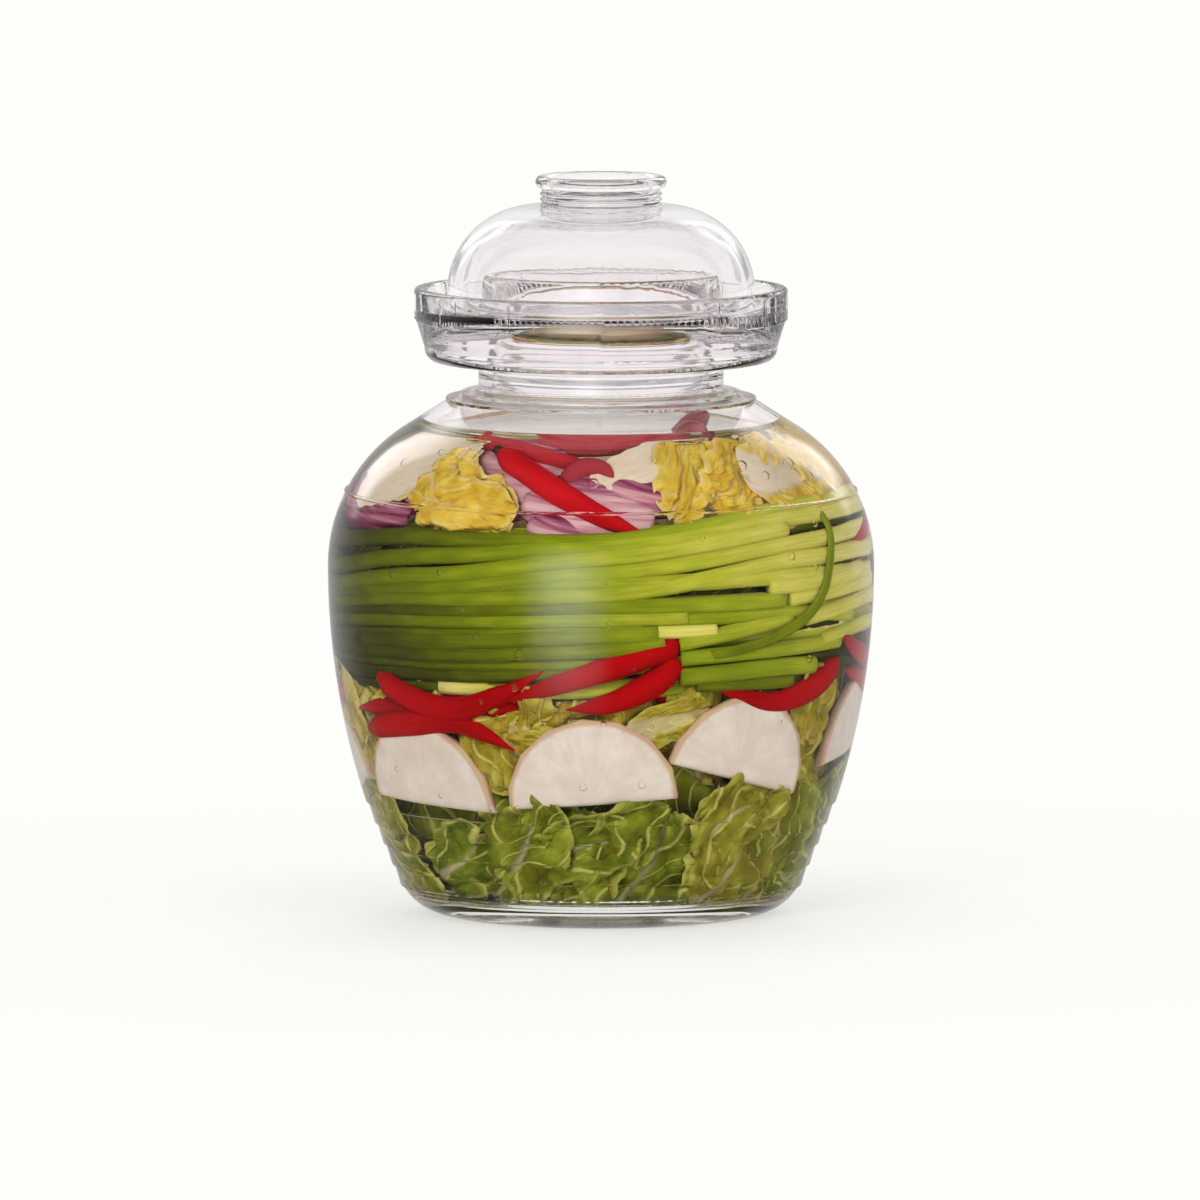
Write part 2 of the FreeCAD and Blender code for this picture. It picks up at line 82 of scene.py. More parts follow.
def add(tree: Any, kind: str, wires: dict | None = None, stops: Sequence | None = None, **settings) -> Any:
    """Adds one node with its settings and links.

    Args:
        tree: The node tree of a material or of the world.
        kind: The node's type without its "ShaderNode" prefix.
        wires: Input name or number to a plain value, or to the socket that feeds it; a node stands for its
            first output.
        stops: Place and hex colour, or place and grey value, of each stop of a colour ramp.
        **settings: The node's own properties.

    Returns:
        The new node.
    """
    node = tree.nodes.new("ShaderNode" + kind)
    for name, value in settings.items():
        setattr(node, name, value)
    for key, value in (wires or {}).items():
        feed = value.outputs[0] if isinstance(value, bpy.types.Node) else value
        if isinstance(feed, bpy.types.NodeSocket):
            tree.links.new(feed, node.inputs[key])
        else:
            node.inputs[key].default_value = value
    for index, (place, tint) in enumerate(stops or ()):
        ramp = node.color_ramp.elements
        stop = ramp[index] if index < len(ramp) else ramp.new(place)
        stop.position = place
        stop.color = linear(tint) if isinstance(tint, str) else (tint, tint, tint, 1.0)
    return node


def ease(value: float, low: float = 0.0, high: float = 1.0) -> float:
    """Smooth step from 0 at low to 1 at high."""
    share = min(1.0, max(0.0, (value - low) / (high - low)))
    return share * share * (3 - 2 * share)


def layer(kind: Any, name: str) -> Any:
    """Finds a named layer of a bmesh, or makes it."""
    return kind.get(name) or kind.new(name)


def lay_map(places: dict[Any, tuple[float, float]], coat: Any) -> None:
    """Writes each vertex's place on the map, given by vertex, into the map's layer."""
    for vert, place in places.items():
        for loop in vert.link_loops:
            loop[coat].uv = place


@dataclass(frozen=True)
class Finish:
    """A finish made of shader nodes.

    Attributes:
        name: The material's name.
    """

    name: str

    def material(self) -> bpy.types.Material:
        """Makes the material and wires its surface and volume to the output."""
        made = bpy.data.materials.new(self.name)
        made.use_nodes = True
        tree = made.node_tree
        tree.nodes.clear()
        wires = {"Surface": self.surface(tree)}
        inside = self.volume(tree)
        if inside is not None:
            wires["Volume"] = inside
        add(tree, "OutputMaterial", wires)
        return made

    def surface(self, tree: Any) -> Any:
        """Shader socket of the surface; each finish gives its own."""
        raise NotImplementedError(self.name)

    def volume(self, tree: Any) -> Any:
        """Shader socket of what is inside the surface, or None."""
        return None


@dataclass(frozen=True)
class ClearBody(Finish):
    """Something clear: glass, brine, water or a trapped bubble.

    Rays from lamps and from dull surfaces go straight through, so that what is inside is lit.

    Attributes:
        bend: Index of refraction.
        takes: sRGB hex of the colour that a long way through it leaves.
        strength: How strongly it takes the rest, per metre.
        wave: Size of the surface's slow waves, in mm, or 0 for none.
        depth: Height of those waves, in mm.
        mirrors: Whether it mirrors face on; glass against brine hardly does.
        tint: sRGB hex of what one pass through its surface leaves.
    """

    bend: float = GLASS
    takes: str = "FFFFFF"
    strength: float = 0.0
    wave: float = 0.0
    depth: float = 0.0
    mirrors: bool = True
    tint: str = "FFFFFF"

    def surface(self, tree: Any) -> Any:
        """Clear shader that lamps shine through."""
        wires = {
            "Base Color": linear(self.tint),
            "Roughness": 0.0,
            "Transmission Weight": 1.0,
            "IOR": self.bend,
            "Specular Tint": linear("FFFFFF" if self.mirrors else "000000"),
        }
        if self.wave:
            place = add(tree, "TexCoord").outputs["Object"]
            waves = add(tree, "TexNoise", {"Vector": place, "Scale": 1 / (self.wave * MM), "Detail": 1.0})
            wires["Normal"] = add(
                tree, "Bump", {"Strength": 1.0, "Distance": self.depth * MM, "Height": waves}
            )
        clear = add(tree, "BsdfPrincipled", wires)
        path = add(tree, "LightPath")
        through = add(tree, "BsdfTransparent")
        dull = add(
            tree,
            "Math",
            {0: path.outputs["Is Shadow Ray"], 1: path.outputs["Is Diffuse Ray"]},
            operation="MAXIMUM",
        )
        mixed = add(tree, "MixShader", {0: dull, 1: clear, 2: through})
        return mixed.outputs["Shader"]

    def volume(self, tree: Any) -> Any:
        """Tint that grows with depth, or None for a body with none."""
        if not self.strength:
            return None
        tint = add(tree, "VolumeAbsorption", {"Color": linear(self.takes), "Density": self.strength})
        return tint.outputs["Volume"]


@dataclass(frozen=True)
class ChilliSkin(Finish):
    """Waxy skin of a ripe red chilli, wet: even deep red with slow darker patches and a sharp shine."""

    deep: str = "920205"
    bright: str = "A80408"
    pale: str = "B4070C"

    def surface(self, tree: Any) -> Any:
        """Patches of about 9 mm along the pod, and dents of 3 mm."""
        skin = add(tree, "Attribute", attribute_name="skin")
        slow = add(tree, "Mapping", {"Vector": skin.outputs["Vector"], "Scale": (1.0, 1.0, 0.25)})
        patches = add(tree, "TexNoise", {"Vector": slow, "Scale": 0.14, "Detail": 1.5})
        colour = add(
            tree,
            "ValToRGB",
            {"Fac": patches},
            stops=((0.25, self.deep), (0.5, self.bright), (0.8, self.pale)),
        )
        steeped = add(tree, "Attribute", attribute_name="tone")
        colour = add(
            tree, "Mix", {0: steeped.outputs["Fac"], 6: colour, 7: linear("9C3A42")}, data_type="RGBA"
        )
        dents = add(tree, "TexNoise", {"Vector": slow, "Scale": 0.4, "Detail": 1.0})
        bump = add(tree, "Bump", {"Strength": 0.4, "Distance": 0.4 * MM, "Height": dents})
        shell = add(
            tree,
            "BsdfPrincipled",
            {"Base Color": colour.outputs[2], "Roughness": 0.3, "IOR": SKIN_IN_BRINE, "Normal": bump},
        )
        return shell.outputs["BSDF"]


@dataclass(frozen=True)
class DryChilliSkin(ChilliSkin):
    """The same skin on the pods that stand out of the brine, read in the jar's own space."""

    def surface(self, tree: Any) -> Any:
        """Patches of about 6 mm and fine wrinkles of 1.5 mm."""
        place = add(tree, "TexCoord")
        patches = add(tree, "TexNoise", {"Vector": place.outputs["Object"], "Scale": 160.0, "Detail": 3.0})
        colour = add(
            tree,
            "ValToRGB",
            {"Fac": patches},
            stops=((0.3, self.deep), (0.52, self.bright), (0.75, self.pale)),
        )
        dents = add(tree, "TexNoise", {"Vector": place.outputs["Object"], "Scale": 600.0, "Detail": 2.0})
        bump = add(tree, "Bump", {"Strength": 0.5, "Distance": 0.3 * MM, "Height": dents})
        shell = add(
            tree,
            "BsdfPrincipled",
            {
                "Base Color": colour,
                "Roughness": 0.3,
                "IOR": DRY_SKIN,
                "Coat Weight": 0.4,
                "Coat Roughness": 0.1,
                "Normal": bump,
            },
        )
        return shell.outputs["BSDF"]


@dataclass(frozen=True)
class GarlicStem(Finish):
    """Smooth garlic stem, pickled: dark green at its top, through fresh green to pale yellow at its foot, the
    darkest green partly painted shade.
    """

    def surface(self, tree: Any) -> Any:
        """Colour along the stem, a shift from stem to stem, and fibres 0.6 mm apart."""
        skin = add(tree, "Attribute", attribute_name="skin")
        run = add(tree, "Attribute", attribute_name="run")
        shift = add(tree, "Attribute", attribute_name="tone")
        long_map = add(tree, "Mapping", {"Vector": skin.outputs["Vector"], "Scale": (1.0, 1.0, 0.03)})
        fibres = add(tree, "TexNoise", {"Vector": long_map, "Scale": 1.6, "Detail": 3.0})
        slow = add(tree, "Mapping", {"Vector": skin.outputs["Vector"], "Scale": (0.3, 0.3, 0.08)})
        patches = add(tree, "TexNoise", {"Vector": slow, "Scale": 1.0, "Detail": 2.0})
        place = add(tree, "Math", {0: patches, 1: 0.22, 2: run.outputs["Fac"]}, operation="MULTIPLY_ADD")
        place = add(tree, "Math", {0: place, 1: shift.outputs["Fac"]}, operation="ADD")
        place = add(tree, "Math", {0: place, 1: 0.11}, operation="SUBTRACT")
        # The darkest stops are partly painted shade, darker than the stems' own green tops.
        colour = add(
            tree,
            "ValToRGB",
            {"Fac": place},
            stops=(
                (0.0, "2A2B08"),
                (0.2, "42450D"),
                (0.38, "69730F"),
                (0.54, "8A981C"),
                (0.68, "AFB236"),
                (0.84, "D5CD62"),
                (1.0, "E6DE98"),
            ),
        )
        dark = add(tree, "ValToRGB", {"Fac": fibres}, stops=((0.3, 0.84), (0.5, 1.0), (0.7, 1.08)))
        tinted = add(tree, "Mix", {0: 1.0, 6: colour, 7: dark}, data_type="RGBA", blend_type="MULTIPLY")
        bump = add(tree, "Bump", {"Strength": 0.3, "Distance": 0.15 * MM, "Height": fibres})
        shell = add(
            tree,
            "BsdfPrincipled",
            {"Base Color": tinted.outputs[2], "Roughness": 0.34, "IOR": SKIN_IN_BRINE, "Normal": bump},
        )
        return shell.outputs["BSDF"]


@dataclass(frozen=True)
class CabbageLeaf(Finish):
    """Napa cabbage leaf, brined: limp green to yellow blade with pale veins, and a smooth cream rib.

    The piece's UV map is in units of 100 mm: across from the midrib, and along from the leaf's foot.
    """

    def surface(self, tree: Any) -> Any:
        """Veins 7 mm apart that fan out from the foot, and patches of 12 mm."""
        coat = add(tree, "UVMap", uv_map="leaf")
        tone = add(tree, "Attribute", attribute_name="tone")
        rib = add(tree, "Attribute", attribute_name="rib")
        edge = add(tree, "Attribute", attribute_name="edge")
        vein = add(tree, "Attribute", attribute_name="vein")
        near = add(tree, "Math", {0: vein.outputs["Fac"], 1: 0.5}, operation="PINGPONG")
        side = add(
            tree,
            "MapRange",
            {"Value": near, "From Min": 0.03, "From Max": 0.11, "To Min": 0.8, "To Max": 0.0},
        )
        strong = add(
            tree,
            "MapRange",
            {"Value": tone.outputs["Fac"], "From Min": 0.5, "From Max": 0.9, "To Min": 1.0, "To Max": 0.35},
        )
        veins = add(tree, "Math", {0: side, 1: strong}, operation="MULTIPLY")
        smooth = add(tree, "Math", {0: 1.0, 1: rib.outputs["Fac"]}, operation="SUBTRACT")
        veins = add(tree, "Math", {0: veins, 1: smooth}, operation="MULTIPLY")
        patches = add(tree, "TexNoise", {"Vector": coat, "Scale": 9.0, "Detail": 4.0})
        green = add(
            tree,
            "ValToRGB",
            {"Fac": patches},
            stops=((0.3, "343E08"), (0.45, "52640F"), (0.58, "76861E"), (0.72, "A6A63C")),
        )
        yellow = add(
            tree,
            "ValToRGB",
            {"Fac": patches},
            stops=((0.3, "C69A28"), (0.47, "DFB83E"), (0.62, "E9CC60"), (0.75, "EEDC8E")),
        )
        blade = add(tree, "Mix", {0: tone.outputs["Fac"], 6: green, 7: yellow}, data_type="RGBA")
        pale = add(
            tree,
            "ValToRGB",
            {"Fac": tone.outputs["Fac"]},
            stops=((0.0, "C2BE60"), (0.6, "D8CE74"), (1.0, "EFE0A4")),
        )
        veined = add(tree, "Mix", {0: veins, 6: blade.outputs[2], 7: pale}, data_type="RGBA")
        margin = add(
            tree,
            "MapRange",
            {"Value": edge.outputs["Fac"], "From Min": 0.7, "From Max": 1.0, "To Min": 0.0, "To Max": 0.45},
        )
        edged = add(tree, "Mix", {0: margin, 6: veined.outputs[2], 7: pale}, data_type="RGBA")
        grain = add(tree, "Mapping", {"Vector": coat, "Scale": (1.0, 0.12, 1.0)})
        lines = add(tree, "TexNoise", {"Vector": grain, "Scale": 90.0, "Detail": 2.0})
        cream = add(tree, "ValToRGB", {"Fac": lines}, stops=((0.3, "DAC7AA"), (0.7, "E2D2BA")))
        ribbed = add(tree, "Mix", {0: rib.outputs["Fac"], 6: edged.outputs[2], 7: cream}, data_type="RGBA")
        relief = add(tree, "Math", {0: veins, 1: 0.7, 2: patches}, operation="MULTIPLY_ADD")
        crease = add(tree, "Mapping", {"Vector": coat, "Scale": (1.0, 0.3, 1.0)})
        creases = add(tree, "TexNoise", {"Vector": crease, "Scale": 62.0, "Detail": 2.0, "Distortion": 0.8})
        creases = add(tree, "Math", {0: creases, 1: smooth}, operation="MULTIPLY")
        relief = add(tree, "Math", {0: creases, 1: 1.4, 2: relief}, operation="MULTIPLY_ADD")
        bump = add(tree, "Bump", {"Strength": 0.9, "Distance": 0.8 * MM, "Height": relief})
        skin = add(
            tree,
            "BsdfPrincipled",
            {"Base Color": ribbed.outputs[2], "Roughness": 0.4, "IOR": SKIN_IN_BRINE, "Normal": bump},
        )
        return skin.outputs["BSDF"]


@dataclass(frozen=True)
class CutRadish(Finish):
    """White radish cut across, steeped: dense pinkish white flesh with faint rays, and a thin tan rind."""

    def surface(self, tree: Any) -> Any:
        """Rays from the root's middle, cloudy patches of 8 mm, and a rind line 1 mm wide."""
        coat = add(tree, "UVMap", uv_map="slice")
        rim = add(tree, "Attribute", attribute_name="rim")
        rays = add(tree, "Mapping", {"Vector": coat, "Scale": (34.0, 3.0, 1.0)})
        lines = add(tree, "TexNoise", {"Vector": rays, "Scale": 1.0, "Detail": 3.0})
        place = add(tree, "TexCoord")
        clouds = add(tree, "TexNoise", {"Vector": place.outputs["Object"], "Scale": 120.0, "Detail": 4.0})
        both = add(tree, "Math", {0: lines, 1: 0.45, 2: clouds}, operation="MULTIPLY_ADD")
        flesh = add(
            tree, "ValToRGB", {"Fac": both}, stops=((0.45, "D6C8B8"), (0.7, "DED1C3"), (0.95, "E8DED2"))
        )
        rind = add(
            tree, "ValToRGB", {"Fac": clouds}, stops=((0.35, "C59F88"), (0.55, "C6AC86"), (0.7, "C3B57A"))
        )
        band = add(tree, "MapRange", {"Value": rim.outputs["Fac"], "From Min": 0.45, "From Max": 0.85})
        colour = add(tree, "Mix", {0: band, 6: flesh, 7: rind}, data_type="RGBA")
        bump = add(tree, "Bump", {"Strength": 0.4, "Distance": 0.3 * MM, "Height": both})
        body = add(
            tree,
            "BsdfPrincipled",
            {
                "Base Color": colour.outputs[2],
                "Roughness": 0.45,
                "IOR": SKIN_IN_BRINE,
                "Subsurface Weight": 0.12,
                "Subsurface Scale": 0.003,
                "Normal": bump,
            },
        )
        return body.outputs["BSDF"]


@dataclass(frozen=True)
class OnionScale(Finish):
    """Red onion scale, steeped: thin glossy lilac flesh with purple skin lines running from root to tip."""

    def surface(self, tree: Any) -> Any:
        """Lengthwise lines about 2 mm apart, gathered towards the edges of each scale."""
        coat = add(tree, "UVMap", uv_map="leaf")
        tone = add(tree, "Attribute", attribute_name="tone")
        edge = add(tree, "Attribute", attribute_name="edge")
        run = add(tree, "Mapping", {"Vector": coat, "Scale": (1.0, 0.06, 1.0)})
        lines = add(tree, "TexNoise", {"Vector": run, "Scale": 60.0, "Detail": 3.0})
        dark = add(tree, "Math", {0: edge.outputs["Fac"], 1: 0.28, 2: lines}, operation="MULTIPLY_ADD")
        dark = add(tree, "Math", {0: tone.outputs["Fac"], 1: 0.35, 2: dark}, operation="MULTIPLY_ADD")
        colour = add(
            tree,
            "ValToRGB",
            {"Fac": dark},
            stops=((0.4, "DDBABB"), (0.56, "D09CA0"), (0.7, "A8627A"), (0.84, "742A45"), (1.0, "4E1229")),
        )
        bump = add(tree, "Bump", {"Strength": 0.4, "Distance": 0.3 * MM, "Height": lines})
        skin = add(
            tree,
            "BsdfPrincipled",
            {"Base Color": colour, "Roughness": 0.28, "IOR": SKIN_IN_BRINE, "Normal": bump},
        )
        return skin.outputs["BSDF"]


@dataclass(frozen=True)
class DriedStalk(Finish):
    """Cut stalk of a chilli, dried almost black, with fine ridges."""

    def surface(self, tree: Any) -> Any:
        """Dark brown with ridges about 0.5 mm apart."""
        skin = add(tree, "Attribute", attribute_name="skin")
        ridges = add(tree, "TexNoise", {"Vector": skin.outputs["Vector"], "Scale": 2.0, "Detail": 2.0})
        colour = add(tree, "ValToRGB", {"Fac": ridges}, stops=((0.3, "17130D"), (0.7, "3A3220")))
        bark = add(tree, "BsdfPrincipled", {"Base Color": colour, "Roughness": 0.6})
        return bark.outputs["BSDF"]


@dataclass(frozen=True)
class PaleFloor(Finish):
    """Plain white studio floor that keeps the jar's soft shadow and looks white wherever it is clear."""

    def surface(self, tree: Any) -> Any:
        """Matt white, mixed towards plain white for the eye, clear for what the glass mirrors."""
        matt = add(tree, "BsdfPrincipled", {"Base Color": linear("F6F5F2"), "Roughness": 0.9})
        white = add(tree, "Emission", {"Color": linear(WHITE), "Strength": 1.0})
        path = add(tree, "LightPath")
        place = add(tree, "TexCoord")
        away = add(tree, "VectorMath", {0: place.outputs["Object"]}, operation="LENGTH")
        plain = add(
            tree,
            "ValToRGB",
            {"Fac": away.outputs["Value"]},
            stops=((0.0, 0.3), (0.04, 0.3), (0.06, 0.62), (0.14, 0.88), (0.4, 1.0)),
        )
        inside = add(
            tree, "ValToRGB", {"Fac": away.outputs["Value"]}, stops=((0.0, 0.8), (0.045, 0.8), (0.06, 1.0))
        )
        eye = add(tree, "Math", {0: path.outputs["Is Camera Ray"], 1: plain}, operation="MULTIPLY")
        share = add(
            tree,
            "Math",
            {0: path.outputs["Is Transmission Ray"], 1: inside, 2: eye},
            operation="MULTIPLY_ADD",
        )
        mixed = add(tree, "MixShader", {0: share, 1: matt, 2: white})
        mirrored = add(
            tree,
            "Math",
            {0: path.outputs["Is Glossy Ray"], 1: path.outputs["Is Transmission Ray"]},
            operation="GREATER_THAN",
        )
        clear = add(tree, "BsdfTransparent")
        laid = add(tree, "MixShader", {0: mirrored, 1: mixed, 2: clear})
        return laid.outputs["Shader"]


@dataclass(frozen=True)
class Spot:
    """A place against the inside of the glass.

    Attributes:
        azimuth: Degrees to the right of the jar's front.
        height: Millimetres above the table.
        depth: Millimetres in from the glass.
    """

    azimuth: float
    height: float
    depth: float = 2.0


@dataclass
class Wall:
    """The glass's inner face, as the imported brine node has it.

    Attributes:
        course: Height and radius pairs, in mm, from the floor to the brine's level.
    """

    course: list[tuple[float, float]] = field(default_factory=list)

    @classmethod
    def read(cls, node: str) -> "Wall":
        """Reads the widest radius at each height; the wall bulges outwards, so its hull is its course.

        Args:
            node: Name of the CAD node that fills the jar.

        Returns:
            The wall.
        """
        found = sorted(
            {(v.co.z / MM, math.hypot(v.co.x, v.co.y) / MM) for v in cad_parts[node].data.vertices}
        )
        hull: list[tuple[float, float]] = []
        for spot in found:
            while len(hull) > 1 and (hull[-1][0] - hull[-2][0]) * (spot[1] - hull[-2][1]) >= (
                hull[-1][1] - hull[-2][1]
            ) * (spot[0] - hull[-2][0]):
                hull.pop()
            hull.append(spot)
        return cls(hull)

    @property
    def level(self) -> float:
        """Height of the brine's surface, in mm."""
        return self.course[-1][0]

    def radius(self, height: float) -> float:
        """Radius of the glass's inner face at a height, both in mm."""
        course = self.course
        if height <= course[0][0]:
            return course[0][1]
        for (low, near), (high, far) in zip(course, course[1:]):
            if height <= high:
                return near + (far - near) * (height - low) / max(high - low, 1e-6)
        return course[-1][1]

    def point(self, spot: Spot) -> Vector:
        """A spot's place in the jar, in metres."""
        turn = math.radians(spot.azimuth)
        reach = max(0.0, self.radius(spot.height) - spot.depth) * MM
        return Vector((reach * math.sin(turn), -reach * math.cos(turn), spot.height * MM))

    def beside(self, spot: Spot, across: float, along: float, lean: float, inward: float) -> Spot:
        """A spot some millimetres away along the glass.

        Args:
            spot: Where the measuring starts.
            across: Millimetres to the right of the leaning line.
            along: Millimetres along the leaning line.
            lean: The line's lean to the right from upright, in degrees.
            inward: Millimetres further in from the glass.

        Returns:
            The new spot.
        """
        tilt = math.radians(lean)
        right = across * math.cos(tilt) + along * math.sin(tilt)
        up = along * math.cos(tilt) - across * math.sin(tilt)
        height = spot.height + up
        middle = max(20.0, self.radius((spot.height + height) / 2))
        return Spot(spot.azimuth + math.degrees(right / middle), height, spot.depth + inward)


class End(Enum):
    """How a stem or pod ends."""

    CUT = "cut"
    HOLLOW = "hollow"
    ROUND = "round"


@dataclass
class Bench:
    """Where pieces are made: it finishes a bmesh as a piece of the jar.

    Attributes:
        made: Names of the pieces so far.
    """

    made: list[str] = field(default_factory=list)

    def piece(
        self,
        bm: bmesh.types.BMesh,
        name: str,
        finishes: Sequence[bpy.types.Material],
        thickness: float = 0.0,
    ) -> bpy.types.Object:
        """Makes a piece that rides with the jar.

        Args:
            bm: The shape, which is used up.
            name: The piece's name.
            finishes: Its materials.
            thickness: Millimetres of thickness given to an open sheet, or 0.

        Returns:
            The piece's object.
        """
        bmesh.ops.recalc_face_normals(bm, faces=bm.faces)
        for face in bm.faces:
            face.smooth = True
        mesh = bpy.data.meshes.new(name)
        bm.to_mesh(mesh)
        bm.free()
        for finish in finishes:
            mesh.materials.append(finish)
        made = bpy.data.objects.new(name, mesh)
        bpy.context.scene.collection.objects.link(made)
        if thickness:
            body = made.modifiers.new("thickness", "SOLIDIFY")
            body.thickness = thickness * MM
            body.offset = 0.0
        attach(made, "root")
        self.made.append(name)
        log.info("%s: %d faces", name, len(mesh.polygons))
        return made


def smooth_course(knots: Sequence[Spot], steps: int) -> list[Spot]:
    """Runs a smooth course through knots.

    Args:
        knots: The places it passes.
        steps: Steps from one knot to the next.

    Returns:
        The places along the course, both ends among them.
    """
    ends = [knots[0], *knots, knots[-1]]
    course = []
    for index in range(1, len(ends) - 2):
        four = [Vector((k.azimuth, k.height, k.depth)) for k in ends[index - 1 : index + 3]]
        for step in range(steps):
            t = step / steps
            bent = 0.5 * (
                2 * four[1]
                + (four[2] - four[0]) * t
                + (2 * four[0] - 5 * four[1] + 4 * four[2] - four[3]) * t * t
                + (3 * four[1] - four[0] - 3 * four[2] + four[3]) * t**3
            )
            course.append(Spot(*bent))
    course.append(knots[-1])
    return course


@dataclass
class Sweep:
    """A round body swept along a course: a ring of edges, extruded from step to step.

    Attributes:
        sides: Sides of the ring.
        flat: Thickness from the glass inwards, as a share of the width.
    """

    sides: int = 12
    flat: float = 0.9

    def build(
        self,
        bm: bmesh.types.BMesh,
        path: Sequence[Vector],
        radii: Sequence[float],
        ends: tuple[End, End],
        tone: float = 0.0,
        runs: tuple[float, float] = (0.0, 1.0),
    ) -> None:
        """Adds the body to a bmesh.

        Args:
            bm: The bmesh it is added to.
            path: Points of its middle line, in metres.
            radii: Radius at each point, in mm.
            ends: How it starts and stops.
            tone: Shift of its colour.
            runs: Value of its colour run at the start and at the end.
        """
        skin = layer(bm.verts.layers.float_vector, "skin")
        run = layer(bm.verts.layers.float, "run")
        shade = layer(bm.verts.layers.float, "tone")
        ring = bmesh.ops.create_circle(bm, segments=self.sides, radius=1.0, cap_ends=False)["verts"]
        edges = list({edge for vert in ring for edge in vert.link_edges})
        corners = [vert.co.copy() for vert in ring]
        order = {vert: index for index, vert in enumerate(ring)}
        reach = 0.0
        for step, (centre, radius) in enumerate(zip(path, radii)):
            before = path[max(step - 1, 0)]
            after = path[min(step + 1, len(path) - 1)]
            ahead = (after - before).normalized()
            out = Vector((centre.x, centre.y, 0.0))
            side = (out - ahead * out.dot(ahead)).normalized()
            up = ahead.cross(side)
            if step:
                reach += (centre - before).length / MM
                grown = bmesh.ops.extrude_edge_only(bm, edges=edges)["geom"]
                moved = [item for item in grown if isinstance(item, bmesh.types.BMVert)]
                fresh = {}
                for vert in moved:
                    for edge in vert.link_edges:
                        other = edge.other_vert(vert)
                        if other in order:
                            fresh[vert] = order[other]
                edges = [item for item in grown if isinstance(item, bmesh.types.BMEdge)]
                order = fresh
            for vert, index in order.items():
                corner = corners[index]
                vert.co = centre + (up * corner.x + side * corner.y * self.flat) * radius * MM
                vert[skin] = Vector((corner.x * radius, corner.y * radius, reach))
                vert[run] = runs[0] + (runs[1] - runs[0]) * step / (len(path) - 1)
                vert[shade] = tone
            if step in (0, len(path) - 1):
                self.close(bm, edges, ends[0 if step == 0 else 1], ahead * (1 if step == 0 else -1), radius)

    def close(
        self, bm: bmesh.types.BMesh, edges: Sequence[Any], end: End, inward: Vector, radius: float
    ) -> None:
        """Closes one end.

        Args:
            bm: The bmesh.
            edges: The ring of edges round the end.
            end: How it is closed.
            inward: Direction into the body.
            radius: Radius of the end, in mm.
        """
        cap = bmesh.ops.contextual_create(bm, geom=list(edges))["faces"]
        if end is End.HOLLOW:
            bmesh.ops.inset_individual(bm, faces=cap, thickness=radius * 0.38 * MM)
            for face in bmesh.ops.extrude_discrete_faces(bm, faces=cap)["faces"]:
                bmesh.ops.translate(bm, vec=inward * radius * 0.9 * MM, verts=face.verts)
        if end is End.ROUND:
            bmesh.ops.poke(bm, faces=cap, offset=radius * 0.5 * MM)


@dataclass(frozen=True)
class Pod:
    """One chilli along the glass.

    Attributes:
        knots: The spots it passes, from its shoulder to its tip.
        width: Thickness at its widest, in mm.
        stalk: Whether its cut stalk is still on.
        dull: How far the steeping has dulled it, from 0 to 1.
    """

    knots: tuple[Spot, ...]
    width: float
    stalk: bool = False
    dull: float = 0.0


